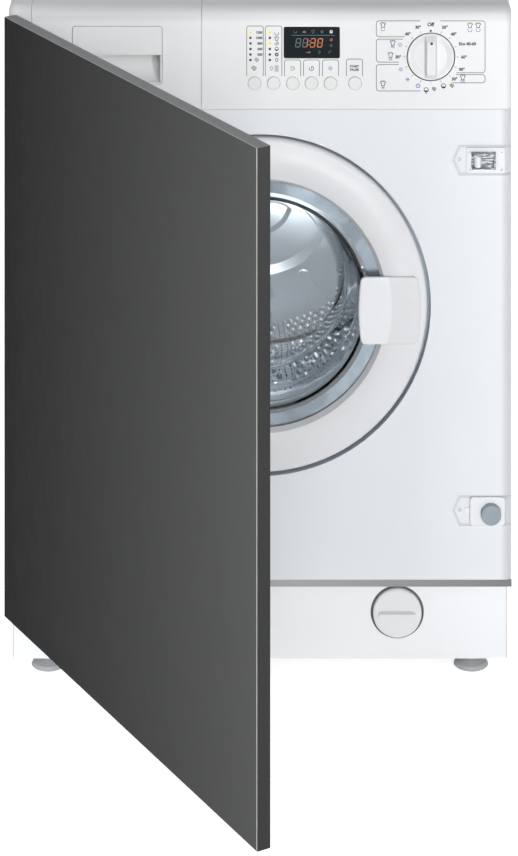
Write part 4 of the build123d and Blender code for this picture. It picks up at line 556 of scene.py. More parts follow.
@dataclass(frozen=True)
class Laminate(Finish):
    """Anthracite laminate: a fine brushed grain, painted shade deepening towards the hinges, painted edge
    shade and highlights.
    """

    # The lighter tone at the free side; painted shade deepens from it towards the hinges.
    free_side_lit_tone: Colour = (0.077, 0.077, 0.077)
    # Painted highlight on the front edge lines, painted shade on the free side edge and painted highlight
    # on the top edge.
    edge_highlight: Colour = (0.34, 0.34, 0.34)
    side_edge_shade: Colour = (0.04, 0.04, 0.04)
    top_edge_highlight: Colour = (0.24, 0.24, 0.24)
    scratch: Colour = (0.2, 0.2, 0.2)
    pin: tuple[float, float, float] = (-286.5 * MM, -17.5 * MM, 0.0)
    opening: float = 60.0
    front: float = -10.5 * MM
    width: float = 584.0 * MM
    top: float = 810.0 * MM

    def own_axes(self, shade: Shade) -> tuple[Socket, Socket, Socket]:
        """The panel's own coordinates.

        Args:
            shade: the node tree.

        Returns:
            The way along its width from the pins, through its thickness, and up.
        """
        move = shade.nodes.new("ShaderNodeVectorMath")
        move.operation = "SUBTRACT"
        shade.links.new(shade.place, move.inputs[0])
        move.inputs[1].default_value = self.pin
        turn = shade.nodes.new("ShaderNodeMapping")
        turn.inputs["Rotation"].default_value = (0.0, 0.0, math.radians(self.opening))
        shade.links.new(move.outputs[0], turn.inputs["Vector"])
        return shade.axes(turn.outputs[0])

    def dress(self, shade: Shade) -> None:
        """Adds the grain, painted shade towards the hinges, painted edge shade and highlights, and a satin
        roughness.
        """
        along, through, up = self.own_axes(shade)
        fine = shade.noise(1.0, 4.0, (1500.0, 1500.0, 900.0), 0.6)
        broad = shade.noise(1.0, 2.0, (90.0, 90.0, 30.0))
        # Painted shade that deepens from the free side towards the hinges.
        shade_drift = shade.spread(along, 0.0, 1.0, 0.0, self.width)
        tone = shade.mixed(shade_drift, self.colour, self.free_side_lit_tone)
        # Scratches in the grain, laid over the painted shade.
        worn = shade.mixed(shade.spread(fine, 0.0, 0.05, 0.3, 0.7), tone, self.scratch)
        shade.drive("Base Color", worn)
        # Painted shade on the free side edge.
        side = shade.spread(along, 0.0, 1.0, self.width - 0.5 * MM, self.width - 0.3 * MM)
        shade.lay_over(side, self.side_edge_shade)
        # Painted highlight on the top edge.
        rim = shade.spread(up, 0.0, 1.0, self.top - 0.3 * MM, self.top - 0.1 * MM)
        shade.lay_over(rim, self.top_edge_highlight)
        # Painted highlight along the front edge lines.
        line = shade.band(through, self.front + 0.22 * MM, self.front + 0.85 * MM, 0.06 * MM)
        shade.lay_over(line, self.edge_highlight)
        shade.relief(fine, 0.00003, 0.6)
        shade.drive("Roughness", shade.spread(broad, self.roughness - 0.04, self.roughness + 0.04,
                                              0.35, 0.65))
        shade.fix(Specular_IOR_Level=0.02)


@dataclass(frozen=True)
class Sheet(Finish):
    """Zinc-coated steel sheet with its spangle."""

    def dress(self, shade: Shade) -> None:
        """Gives each spangle its own tone and roughness."""
        tone = shade.axes(shade.cells(70.0))[0]
        dark = tuple(c * 0.82 for c in self.colour)
        shade.drive("Base Color", shade.mixed(tone, dark, self.colour))
        shade.drive("Roughness", shade.spread(tone, self.roughness - 0.1, self.roughness + 0.12))
        shade.relief(shade.noise(260.0, 2.0), 0.00004, 0.4)
        shade.fix(Metallic=0.85)


@dataclass(frozen=True)
class Metal(Finish):
    """Machined, cast or polished metal with fine directional marks."""

    marks: tuple[float, float, float] = (900.0, 40.0, 900.0)
    depth: float = 0.00003

    def dress(self, shade: Shade) -> None:
        """Adds the marks to the tone, the relief and the roughness."""
        lines = shade.noise(1.0, 3.0, self.marks)
        dark = tuple(c * 0.88 for c in self.colour)
        shade.drive("Base Color", shade.mixed(lines, dark, self.colour))
        shade.relief(lines, self.depth, 0.5)
        shade.drive("Roughness", shade.spread(lines, self.roughness * 0.75, self.roughness * 1.3))
        shade.fix(Metallic=1.0)


@dataclass(frozen=True)
class ClearRing(Finish):
    """Glossy blue-grey ring round the bowl, with painted reflections in dark and pale clouds along it."""

    # Painted reflections: a dark colour in broad clouds and a pale one in fine clouds.
    painted_dark: Colour = (0.17, 0.20, 0.23)
    pale: Colour = (0.62, 0.67, 0.71)

    def dress(self, shade: Shade) -> None:
        """Paints dark and pale reflections round the ring in clouds and gives it a smooth gloss."""
        clouds = shade.noise(1.0, 2.0, (13.0, 13.0, 13.0))
        fine = shade.noise(1.0, 2.0, (70.0, 70.0, 70.0))
        tone = shade.mixed(shade.spread(clouds, 0.0, 1.0, 0.40, 0.60), self.painted_dark, self.colour)
        shade.drive("Base Color", shade.mixed(shade.spread(fine, 0.0, 0.35, 0.45, 0.7), tone, self.pale))
        shade.drive("Roughness", shade.spread(fine, self.roughness * 0.7, self.roughness * 1.4))
        shade.fix(Metallic=0.5, Specular_IOR_Level=0.4)


@dataclass(frozen=True)
class FramedSteel(Finish):
    """The roller catch: a white coated frame round a window of dark steel with pale streaks."""

    steel: Colour = (0.11, 0.12, 0.13)
    # The colour of the pale streaks across the dark steel.
    worn: Colour = (0.55, 0.57, 0.59)
    window: tuple[float, float, float, float] = (249.5 * MM, 278.5 * MM, 628.6 * MM, 647.4 * MM)

    def dress(self, shade: Shade) -> None:
        """Leaves the steel bare inside the window and coats the rest."""
        across, _, up = shade.axes()
        left, right, low, high = self.window
        bare = shade.maths("MULTIPLY", shade.band(across, left, right), shade.band(up, low, high))
        streaks = shade.noise(1.0, 3.0, (90.0, 90.0, 700.0))
        steel = shade.mixed(shade.spread(streaks, 0.0, 1.0, 0.5, 0.68), self.steel, self.worn)
        shade.drive("Base Color", shade.mixed(bare, self.colour, steel))
        shade.drive("Metallic", bare)
        shade.drive("Roughness", shade.spread(bare, self.roughness, 0.2))
        shade.relief(shade.noise(1200.0, 1.0), 0.00002, 0.5)
        shade.fix(Specular_IOR_Level=0.25)


@dataclass(frozen=True)
class Casting(Finish):
    """Rough cast metal or cast concrete: pits, lumps and an uneven tone."""

    metal: float = 0.0
    pit: float = 0.0003
    grit: float = 160.0

    def dress(self, shade: Shade) -> None:
        """Adds lumps, pits and patches."""
        self.mottled(shade, 22.0, 0.16)
        shade.relief(shade.noise(self.grit, 5.0, roughness=0.65), self.pit, 0.8)
        self.uneven(shade, 45.0, 0.08, 0.1)
        shade.fix(Metallic=self.metal)


@dataclass(frozen=True)
class Rubber(Finish):
    """Soft rubber with a dull bloom."""

    def dress(self, shade: Shade) -> None:
        """Adds the bloom and a fine skin."""
        self.mottled(shade, 40.0, 0.06)
        shade.relief(shade.noise(900.0, 2.0), 0.00004, 0.6)
        self.uneven(shade, 70.0, 0.08, 0.08)
        shade.fix(Specular_IOR_Level=0.35, Sheen_Weight=0.08)


@dataclass(frozen=True)
class ClearGlass(Finish):
    """Pressed glass: faint waviness, a blue-grey body and open to lamplight."""

    lamplight: Colour = (0.93, 0.95, 0.96)

    def dress(self, shade: Shade) -> None:
        """Adds the press waves, and lets lamplight through to what lies behind."""
        shade.relief(shade.noise(38.0, 1.0), 0.0006, 0.35)
        shade.drive("Roughness", shade.spread(shade.noise(25.0), 0.0, self.roughness))
        shade.fix(Transmission_Weight=1.0, IOR=1.5)
        clear = shade.nodes.new("ShaderNodeBsdfTransparent")
        clear.inputs["Color"].default_value = (*self.lamplight, 1.0)
        path = shade.nodes.new("ShaderNodeLightPath")
        through = shade.nodes.new("ShaderNodeMixShader")
        lamp = shade.maths("MAXIMUM", path.outputs["Is Shadow Ray"], path.outputs["Is Diffuse Ray"])
        for socket, slot in zip((lamp, shade.surface.outputs[0], clear.outputs[0]), through.inputs):
            shade.links.new(socket, slot)
        shade.links.new(through.outputs[0], shade.output.inputs["Surface"])


@dataclass(frozen=True)
class TintedLens(Finish):
    """Dark tinted plastic window, almost black with a green-blue cast."""

    def dress(self, shade: Shade) -> None:
        """Adds a faint streak to the gloss and the tint."""
        self.mottled(shade, 60.0, 0.3, (1, 1, 6))
        shade.drive("Roughness", shade.spread(shade.noise(120.0), self.roughness * 0.7,
                                              self.roughness * 1.3))
        shade.fix(Specular_IOR_Level=0.06)


@dataclass(frozen=True)
class PrintInk(Finish):
    """Pad-printed ink: a matt film whose cover thins a little here and there."""

    def dress(self, shade: Shade) -> None:
        """Adds the uneven cover."""
        self.mottled(shade, 800.0, 0.2)
        self.uneven(shade, 400.0, 0.05, 0.1)


@dataclass(frozen=True)
class Lamp(Finish):
    """A lit lamp or display segment: an evenly glowing film over a faintly uneven tone."""

    glow: float = 1.0

    def dress(self, shade: Shade) -> None:
        """Adds the glow and the uneven tone."""
        self.mottled(shade, 500.0, 0.15)
        shade.surface.inputs["Emission Color"].default_value = (*self.colour, 1.0)
        shade.fix(Emission_Strength=self.glow, Roughness=self.roughness)


@dataclass(frozen=True)
class DrumSteel(Finish):
    """Brushed stainless drum: drops and pierced holes round the wall and the rim of the back plate."""

    wall_pitch: float = 15.0 * MM
    plate_pitch: float = 9.5 * MM
    hole: float = 0.12
    drop: float = 0.40
    lift: float = 2.2 * MM
    drum_radius: float = 235.0 * MM
    wall: tuple[float, float] = (122.0 * MM, 376.0 * MM)
    wall_face: tuple[float, float] = (226.0 * MM, 229.0 * MM)
    back: tuple[float, float] = (356.0 * MM, 361.0 * MM)
    plate: tuple[float, float] = (160.0 * MM, 229.0 * MM)
    seam: tuple[float, float] = (184.2 * MM, 189.0 * MM)
    strips: int = 9
    strip_edge: tuple[float, float] = (7.5 * MM, 9.0 * MM)
    fine_row: tuple[float, float] = (3.6 * MM, 5.6 * MM)
    fine_pitch: float = 3.4 * MM
    shadow: Colour = (0.02, 0.022, 0.025)
    strip_start: float = 0.2377

    def grid(self, shade: Shade, across: Socket, along: Socket, pitch: float, offset: float) -> Socket:
        """Distance to the nearest cross point of a square grid turned by 45 degrees.

        Args:
            shade: the node tree.
            across: the coordinate round the drum, in metres.
            along: the coordinate along the drum, in metres.
            pitch: the distance between neighbours, in metres.
            offset: the shift of the grid, in cells.

        Returns:
            The distance, in cells.
        """
        turned = shade.nodes.new("ShaderNodeCombineXYZ")
        first = shade.maths("ADD", across, along)
        second = shade.maths("SUBTRACT", across, along)
        for slot, value in ((0, first), (1, second)):
            cells = shade.maths("ADD", shade.maths("DIVIDE", value, pitch * 1.414), offset)
            near = shade.maths("SUBTRACT", shade.maths("FRACT", cells), 0.5)
            shade.feed(turned.inputs[slot], near)
        length = shade.nodes.new("ShaderNodeVectorMath")
        length.operation = "LENGTH"
        shade.links.new(turned.outputs[0], length.inputs[0])
        return length.outputs["Value"]

    def sheet_field(self, shade: Shade, girth: Socket, along: Socket,
                    pitch: float) -> tuple[Socket, Socket]:
        """One field of drops and holes, parted by plain strips that hold two rows of fine holes.

        Args:
            shade: the node tree.
            girth: the coordinate round the drum, in metres.
            along: the coordinate across the field, in metres.
            pitch: the distance between neighbouring drops.

        Returns:
            The height of the relief and the share of painted shadow in the holes and the folds round the
            drops.
        """
        drops = self.grid(shade, girth, along, pitch, 0.0)
        holes = self.grid(shade, girth, along, pitch, 0.5)
        raised = shade.spread(drops, 1.0, 0.0, 0.12, self.drop)
        # Painted shadow in the fold round each drop.
        fold_shade = shade.maths("MULTIPLY", shade.band(drops, self.drop * 0.62, self.drop * 0.92, 0.03), 0.42)
        pierced = shade.spread(holes, 1.0, 0.0, self.hole * 0.8, self.hole)
        wide = 2 * math.pi * self.drum_radius / self.strips
        place = shade.maths("ADD", shade.maths("DIVIDE", girth, wide), self.strip_start)
        share = shade.maths("SUBTRACT", shade.maths("FRACT", place), 0.5)
        off = shade.maths("ABSOLUTE", shade.maths("MULTIPLY", share, wide))
        clear = shade.spread(off, 0.0, 1.0, *self.strip_edge)
        step = shade.maths("FRACT", shade.maths("DIVIDE", along, self.fine_pitch))
        dots = shade.band(step, 0.25, 0.75, 0.08)
        fine = shade.maths("MULTIPLY", shade.band(off, *self.fine_row), dots)
        sheet = shade.maths("SUBTRACT", raised, shade.maths("MULTIPLY", pierced, 0.6))
        height = shade.maths("MULTIPLY", sheet, clear)
        dark = shade.maths("MULTIPLY", shade.maths("MAXIMUM", pierced, fold_shade), clear)
        return height, shade.maths("MAXIMUM", dark, fine)

    def dress(self, shade: Shade) -> None:
        """Presses the drops, pierces the holes, paints shadow into holes and folds, draws the back plate's
        seam and brushes the steel.
        """
        across, depth, up = shade.axes()
        rise = shade.maths("SUBTRACT", up, PORTHOLE_Z)
        girth = shade.maths("MULTIPLY", shade.maths("ARCTAN2", across, rise), self.drum_radius)
        reach = shade.radius(0.0, PORTHOLE_Z)
        on_wall = shade.maths("MULTIPLY", shade.band(depth, *self.wall, 3.0 * MM),
                              shade.spread(reach, 0.0, 1.0, *self.wall_face))
        behind = shade.spread(depth, 0.0, 1.0, *self.back)
        on_plate = shade.maths("MULTIPLY", shade.band(reach, *self.plate, 4.0 * MM), behind)
        height, dark = 0.0, 0.0
        fields = ((on_wall, depth, self.wall_pitch), (on_plate, reach, self.plate_pitch))
        for share, along, pitch in fields:
            lift, shaded = self.sheet_field(shade, girth, along, pitch)
            height = shade.maths("ADD", height, shade.maths("MULTIPLY", lift, share))
            dark = shade.maths("ADD", dark, shade.maths("MULTIPLY", shaded, share))
        seam = shade.maths("MULTIPLY", shade.band(reach, *self.seam, 0.4 * MM), behind)
        dark = shade.maths("MAXIMUM", dark, seam, clamp=True)
        shade.relief(height, self.lift)
        brushed = shade.noise(1.0, 3.0, (60.0, 1400.0, 60.0))
        shade.relief(brushed, 0.00003, 0.4)
        steel = shade.mixed(brushed, tuple(c * 0.9 for c in self.colour), self.colour)
        # Painted shadow in the holes and folds; the seam line takes the same dark.
        shade.drive("Base Color", shade.mixed(dark, steel, self.shadow))
        shade.drive("Roughness", shade.spread(brushed, self.roughness * 0.8, self.roughness * 1.25))
        turn = shade.nodes.new("ShaderNodeTangent")
        turn.direction_type, turn.axis = "RADIAL", "Y"
        shade.drive("Tangent", turn.outputs[0])
        shade.fix(Metallic=1.0, Anisotropic=0.75)


# Mesh tools

def dressed(name: str, mesh: bpy.types.Mesh, finish: Finish, body: str,
            smooth: bool = True) -> bpy.types.Object:
    """Puts a finished mesh into the scene as a piece that rides on a body.

    Args:
        name: the piece's name.
        mesh: its mesh, in the frame of the whole product.
        finish: its finish.
        body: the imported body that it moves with.
        smooth: whether its faces are shaded smooth.

    Returns:
        The piece.
    """
    piece = bpy.data.objects.new(name, mesh)
    bpy.context.collection.objects.link(piece)
    mesh.materials.append(finish.material())
    mesh.polygons.foreach_set("use_smooth", [smooth] * len(mesh.polygons))
    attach(piece, body)
    LOG.info("piece %s: %d faces on %s", name, len(mesh.polygons), body)
    return piece


def paint(finish: Finish, *nodes: str) -> None:
    """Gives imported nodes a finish.

    Args:
        finish: the finish.
        nodes: the nodes that take it.
    """
    for node in nodes:
        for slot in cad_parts[node].material_slots:
            slot.material = finish.material()
        LOG.info("node %s: %s", node, finish.name)


def bending(node: str, name: str) -> None:
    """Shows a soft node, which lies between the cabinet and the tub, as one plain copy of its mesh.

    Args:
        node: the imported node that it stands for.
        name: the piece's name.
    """
    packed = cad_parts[node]
    piece = bpy.data.objects.new(name, packed.data.copy())
    piece.matrix_world = packed.matrix_world.copy()
    bpy.context.collection.objects.link(piece)
    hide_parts(node)
    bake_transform(piece)
    LOG.info("piece %s: between cabinet and tub", name)


def turned(mesh: bmesh.types.BMesh, profile: Sequence[Point], at: Vector, way: Vector,
           steps: int = 24) -> None:
    """Adds a body of revolution.

    Args:
        mesh: the mesh it joins.
        profile: its outline as (radius, height) pairs; a radius of 0 closes an end.
        at: where height 0 lies on the axis.
        way: the direction of the axis.
        steps: how many sides it has.
    """
    turn = Vector((0, 0, 1)).rotation_difference(way).to_matrix()
    rings: list[list[bmesh.types.BMVert]] = []
    for radius, height in profile:
        count = steps if radius > 1e-7 else 1
        angles = [2 * math.pi * i / steps for i in range(count)]
        spots = [Vector((radius * math.cos(a), radius * math.sin(a), height)) for a in angles]
        rings.append([mesh.verts.new(at + turn @ spot) for spot in spots])
    for low, high in zip(rings, rings[1:]):
        for i in range(steps):
            j = (i + 1) % steps
            corners = [low[i % len(low)], low[j % len(low)], high[j % len(high)], high[i % len(high)]]
            unique = list(dict.fromkeys(corners))
            if len(unique) > 2:
                mesh.faces.new(unique)


@dataclass
class ScrewSet:
    """A group of equal pan-head screws with cross recesses."""

    name: str
    body: str
    places: list[Vector]
    way: Vector
    head_radius: float = 3.6 * MM
    head_height: float = 2.2 * MM

    def build(self) -> bpy.types.Object:
        """Builds every head of the group as one piece.

        Returns:
            The piece.
        """
        mesh = bmesh.new()
        r, h = self.head_radius, self.head_height
        side = self.way.orthogonal().normalized()
        other = self.way.cross(side)
        for place in self.places:
            profile = [(r * 0.96, 0), (r, h * 0.3), (r * 0.86, h * 0.72), (r * 0.55, h * 0.95),
                       (r * 0.5, h)]
            turned(mesh, profile, place, self.way)
            self.recess(mesh, place + self.way * h, side, other)
        data = bpy.data.meshes.new(self.name)
        mesh.to_mesh(data)
        mesh.free()
        return dressed(self.name, data, BRIGHT_STEEL, self.body)

    def recess(self, mesh: bmesh.types.BMesh, top: Vector, side: Vector, other: Vector) -> None:
        """Closes a head with a sunk cross.

        Args:
            mesh: the mesh it joins.
            top: the middle of the head's top.
            side: one arm's direction.
            other: the other arm's direction.
        """
        reach, half, rim = self.head_radius * 0.38, self.head_radius * 0.11, self.head_radius * 0.5
        corner = ((reach, half), (half, half), (half, reach))
        cross = [*corner, *((-a, b) for a, b in reversed(corner)), *((-a, -b) for a, b in corner),
                 *((a, -b) for a, b in reversed(corner))]
        angles = [math.atan2(b, a) for a, b in cross]
        outer = [mesh.verts.new(top + side * (rim * math.cos(a)) + other * (rim * math.sin(a)))
                 for a in angles]
        upper = [mesh.verts.new(top + side * a + other * b) for a, b in cross]
        lower = [mesh.verts.new(v.co - self.way * (self.head_height * 0.55)) for v in upper]
        for i in range(12):
            j = (i + 1) % 12
            mesh.faces.new((outer[i], outer[j], upper[j], upper[i]))
            mesh.faces.new((upper[i], upper[j], lower[j], lower[i]))
        mesh.faces.new(lower)


class Printing:
    """Flat printing gathered into one piece; x and z are millimetres on the front."""

    capital_share: float = 0.69
    bold_share: float = 0.075

    def __init__(self, name: str, finish: Finish, body: str, slot: str, y: float) -> None:
        """Starts an empty layer of printing.

        Args:
            name: the piece's name.
            finish: its ink or lamp.
            body: the body that it rides on.
            slot: the record's material slot; not used.
            y: the depth of the printed film's face, in millimetres.
        """
        self.name, self.finish, self.body, self.slot = name, finish, body, slot
        self.y = y * MM
        self.mesh = bmesh.new()

    def point(self, x: float, z: float) -> bmesh.types.BMVert:
        """A corner of the printing, in millimetres."""
        return self.mesh.verts.new((x * MM, self.y, z * MM))

    def patch(self, points: Iterable[Point]) -> None:
        """Fills a flat outline."""
        self.mesh.faces.new([self.point(x, z) for x, z in points])

    def disc(self, x: float, z: float, radius: float, steps: int = 20) -> None:
        """Prints a round dot."""
        angles = [2 * math.pi * i / steps for i in range(steps)]
        self.patch([(x + radius * math.cos(a), z + radius * math.sin(a)) for a in angles])

    def line(self, points: Sequence[Point], width: float, closed: bool = False) -> None:
        """Prints a line of even width with mitred corners.

        Args:
            points: the corners of its middle line.
            width: its width.
            closed: whether the last corner joins the first.
        """
        ends = []
        count = len(points)
        for i, (x, z) in enumerate(points):
            before = points[i - 1] if i or closed else None
            after = points[(i + 1) % count] if i < count - 1 or closed else None
            ways = [Vector((b[0] - a[0], b[1] - a[1])).normalized()
                    for a, b in ((before, (x, z)), ((x, z), after)) if a and b]
            mean = sum(ways, Vector((0, 0))).normalized()
            side = Vector((-mean.y, mean.x)) * (width / 2 / max(0.4, mean.dot(ways[0])))
            ends.append((self.point(x + side.x, z + side.y), self.point(x - side.x, z - side.y)))
        pairs = list(zip(ends, ends[1:])) + ([(ends[-1], ends[0])] if closed else [])
        for (a, b), (c, d) in pairs:
            self.mesh.faces.new((a, b, d, c))

    def arc(self, x: float, z: float, radius: float, width: float, start: float = 0.0,
            end: float = 360.0, growth: float = 0.0) -> None:
        """Prints part of a ring, or a spiral where it grows.

        Args:
            x: the middle, across.
            z: the middle, up.
            radius: the radius of its line at the start.
            width: the line's width.
            start: the first angle in degrees, from +X towards +Z.
            end: the last angle.
            growth: how much the radius grows by the end.
        """
        full = abs(end - start) >= 360 and not growth
        steps = max(6, int(abs(end - start) / 15))
        angles = [math.radians(start + (end - start) * i / steps) for i in range(steps + (not full))]
        reach = [radius + growth * i / steps for i in range(len(angles))]
        self.line([(x + r * math.cos(a), z + r * math.sin(a)) for r, a in zip(reach, angles)], width, full)

    def words(self, text: str, x: float, z: float, height: float, align: str = "CENTER") -> None:
        """Prints words whose capitals have a given height.

        Args:
            text: the words.
            x: the middle, or the end that align names.
            z: the middle of the capitals.
            height: the height of a capital.
            align: CENTER, LEFT or RIGHT.
        """
        curve = bpy.data.curves.new("words", "FONT")
        curve.body, curve.align_x = text, align
        curve.size, curve.offset = height * MM / self.capital_share, height * MM * self.bold_share
        curve.resolution_u = 3
        helper = bpy.data.objects.new("words", curve)
        flat = bpy.data.meshes.new_from_object(helper)
        upright = Matrix.Rotation(math.pi / 2, 4, "X")
        flat.transform(Matrix.Translation((x * MM, self.y, (z - height / 2) * MM)) @ upright)
        self.mesh.from_mesh(flat)
        bpy.data.meshes.remove(flat)
        bpy.data.objects.remove(helper)
        bpy.data.curves.remove(curve)

    def lay(self, film: float = 0.05) -> bpy.types.Object:
        """Gives the film its thickness and puts it into the scene.

        Args:
            film: the film's thickness in millimetres.

        Returns:
            The piece.
        """
        bmesh.ops.recalc_face_normals(self.mesh, faces=self.mesh.faces)
        grown = bmesh.ops.extrude_face_region(self.mesh, geom=self.mesh.faces[:])
        moved = [v for v in grown["geom"] if isinstance(v, bmesh.types.BMVert)]
        bmesh.ops.translate(self.mesh, vec=(0, film * MM, 0), verts=moved)
        bmesh.ops.recalc_face_normals(self.mesh, faces=self.mesh.faces)
        data = bpy.data.meshes.new(self.name)
        self.mesh.to_mesh(data)
        self.mesh.free()
        return dressed(self.name, data, self.finish, self.body, smooth=False)


class Sign(Enum):
    """The small signs printed on the fascia and shown in the display."""

    SHIRT = "shirt"
    SUN = "sun"
    STAR = "star"
    SPIRAL = "spiral"
    TUB = "tub"
    HALF_TUB = "half tub"
    CLOCK = "clock"
    LIST = "list"
    DROP = "drop"
    KEY = "key"
    TAP = "tap"
    RING = "ring"
    SHIELD = "shield"
    WAVES = "waves"


class SignWriter:
    """Draws the signs with the strokes of one layer of printing, in shares of a sign's size."""

    def __init__(self, layer: Printing) -> None:
        """Takes the layer that the signs are printed in."""
        self.layer = layer
        self.x, self.z, self.size, self.width = 0.0, 0.0, 1.0, 1.0

    def draw(self, sign: Sign, x: float, z: float, size: float, width: float) -> None:
        """Prints one sign.

        Args:
            sign: which sign.
            x: its middle, across, in millimetres.
            z: its middle, up.
            size: its height.
            width: the width of its lines.
        """
        self.x, self.z, self.size, self.width = x, z, size, width
        strokes: dict[Sign, Callable[[], None]] = {
            Sign.SHIRT: self.shirt, Sign.SUN: self.sun, Sign.STAR: self.star, Sign.SPIRAL: self.spiral,
            Sign.TUB: self.tub, Sign.HALF_TUB: self.half_tub, Sign.CLOCK: self.clock,
            Sign.LIST: self.ledger, Sign.DROP: self.drop, Sign.KEY: self.key, Sign.TAP: self.tap,
            Sign.RING: self.ring, Sign.SHIELD: self.shield, Sign.WAVES: self.waves}
        strokes[sign]()

    def path(self, *points: Point, closed: bool = False) -> None:
        """Prints a line through points."""
        self.layer.line([(self.x + a * self.size, self.z + b * self.size) for a, b in points], self.width,
                        closed)

    def arc(self, radius: float, start: float = 0.0, end: float = 360.0, shift: float = 0.0,
            growth: float = 0.0, bold: float = 1.0) -> None:
        """Prints part of a ring or spiral.

        Args:
            radius: its radius at the start.
            start: the first angle in degrees.
            end: the last angle.
            shift: how far its middle lies to the right.
            growth: how much the radius grows by the end.
            bold: how much thicker its line is than the others.
        """
        self.layer.arc(self.x + self.size * shift, self.z, self.size * radius, self.width * bold, start,
                       end, self.size * growth)

    def shirt(self) -> None:
        """A shirt with short sleeves."""
        self.path((-0.5, 0.22), (-0.3, 0.48), (-0.13, 0.48), (0, 0.32), (0.13, 0.48), (0.3, 0.48),
                  (0.5, 0.22), (0.3, 0.08), (0.26, -0.45), (-0.26, -0.45), (-0.3, 0.08), closed=True)

    def rays(self, count: int, turn: float, start: float, end: float) -> None:
        """Prints rays.

        Args:
            count: how many.
            turn: the angle between neighbours in radians.
            start: the radius where they begin.
            end: the radius where they end.
        """
        for i in range(count):
            c, s = math.cos(turn * i), math.sin(turn * i)
            self.path((start * c, start * s), (end * c, end * s))

    def sun(self) -> None:
        """A ring with eight rays."""
        self.arc(0.24)
        self.rays(8, math.pi / 4, 0.34, 0.5)

    def star(self) -> None:
        """A star of three crossed lines."""
        self.rays(3, math.pi / 3, -0.5, 0.5)

    def spiral(self) -> None:
        """A spin spiral with a tail."""
        self.arc(0.08, 90, 640, growth=0.34)
        self.path((-0.62, -0.12), (-0.5, 0.3), (-0.2, 0.5))

    def tub(self) -> None:
        """A wash tub."""
        self.path((-0.5, 0.3), (-0.36, -0.35), (0.36, -0.35), (0.5, 0.3))

    def half_tub(self) -> None:
        """A drum, half full."""
        self.arc(0.42)
        reach = self.size * 0.4
        angles = [math.radians(a) for a in range(190, 360, 17)]
        self.layer.patch([(self.x + reach * math.cos(a), self.z + reach * math.sin(a)) for a in angles])

    def clock(self) -> None:
        """A delay clock, open at the top left."""
        self.arc(0.42, -200, 100)
        self.path((-0.02, 0.26), (0, -0.04), (0.18, 0.14))

    def ledger(self) -> None:
        """A list of lines."""
        for i in range(6):
            self.path((-0.34, 0.45 - 0.18 * i), (0.34, 0.45 - 0.18 * i))

    def drop(self) -> None:
        """A drop of water, pointed at its foot."""
        self.path((0, -0.5), (-0.22, -0.18), (-0.3, 0.12), (-0.18, 0.36), (0, 0.46), (0.18, 0.36),
                  (0.3, 0.12), (0.22, -0.18), closed=True)

    def key(self) -> None:
        """A key lying down."""
        self.arc(0.2, shift=0.32)
        self.path((0.1, 0), (-0.5, 0))
        self.path((-0.38, 0), (-0.38, -0.18))

    def tap(self) -> None:
        """A tap with a drop."""
        self.path((0.45, 0.3), (-0.05, 0.3), (-0.2, 0.1), (-0.2, -0.1))
        self.layer.disc(self.x - self.size * 0.2, self.z - self.size * 0.32, self.width * 0.9, 10)
        self.path((0.1, 0.5), (0.1, 0.3))

    def ring(self) -> None:
        """A bold ring."""
        self.arc(0.33, bold=1.9)

    def shield(self) -> None:
        """A rounded square with a check mark."""
        self.path((-0.4, 0.4), (0.3, 0.4), (0.42, 0.25), (0.42, -0.25), (0.3, -0.4), (-0.25, -0.4),
                  (-0.4, -0.25), closed=True)
        self.path((-0.1, 0.1), (0.12, 0.1), (0.12, -0.12))

    def waves(self) -> None:
        """Two waves of water."""
        for lift in (-0.16, 0.16):
            self.path(*[(-0.5 + 0.125 * i, lift + 0.09 * math.sin(math.pi * i / 2)) for i in range(9)])


# The finishes of this machine

WHITE_ENAMEL = Enamel("white enamel", tint("e6e8eb"), 0.34)
FRONT_ENAMEL = GroovedEnamel("white enamel with slate recess", tint("e6e8eb"), 0.34)
BASE_ENAMEL = HemEnamel("pale base enamel with grey hem", tint("f4f5f6"), 0.36)
FASCIA_WHITE = FasciaMoulding("white fascia moulding", tint("e9e9e9"), 0.36)
PANEL_WHITE = BentMoulding("white moulding", tint("e9e9e9"), 0.36)
RING_WHITE = Moulding("glossy white ring moulding", tint("e3e3e5"), 0.3, 0.00001, 0.3)
HANDLE_WHITE = HandleMoulding("white handle moulding", tint("ececee"), 0.3, 0.00001, 0.3)
BUTTON_WHITE = Moulding("white button moulding", tint("e4e4e3"), 0.3)
KNOB_WHITE = Moulding("white knob moulding", tint("e6e6e6"), 0.3)
COVER_WHITE = Moulding("white cover moulding", tint("eaebec"), 0.32)
TINTED = TintedLens("tinted display lens", tint("10191d"), 0.22)
LAMINATE = Laminate("anthracite laminate", tint("1b1b1b"), 0.5)
GALVANISED = Sheet("galvanised sheet", tint("b9bcbe"), 0.42)
BRIGHT_STEEL = Metal("bright steel", tint("b4b6b8"), 0.28)
CATCH_STEEL = FramedSteel("white framed catch steel", tint("e9eaeb"), 0.32)
DRUM_STEEL = DrumSteel("pierced drum steel", tint("d2d6da"), 0.3)
PADDLE_STEEL = Metal("pressed paddle steel", tint("c2c6ca"), 0.3, (60.0, 1200.0, 60.0))
CAST_ALUMINIUM = Casting("cast aluminium", tint("a9abad"), 0.5, 0.9, 0.00015, 320.0)
CAST_CONCRETE = Casting("cast concrete", tint("8f8c86"), 0.85)
MOTOR_IRON = Metal("laminated motor iron", tint("6b6d70"), 0.5, (40.0, 2400.0, 40.0), 0.00012)
GASKET_RUBBER = Rubber("grey bellows rubber", tint("dadde0"), 0.5)
BELT_RUBBER = Rubber("black belt rubber", tint("1b1b1b"), 0.6)
PAD_RUBBER = Rubber("grey buffer rubber", tint("97a0a8"), 0.5)
FOOT_GREY = Moulding("grey foot moulding", tint("b4b6b8"), 0.5)
INNER_GREY = ClearRing("glossy blue-grey ring", tint("a3adb6"), 0.18)
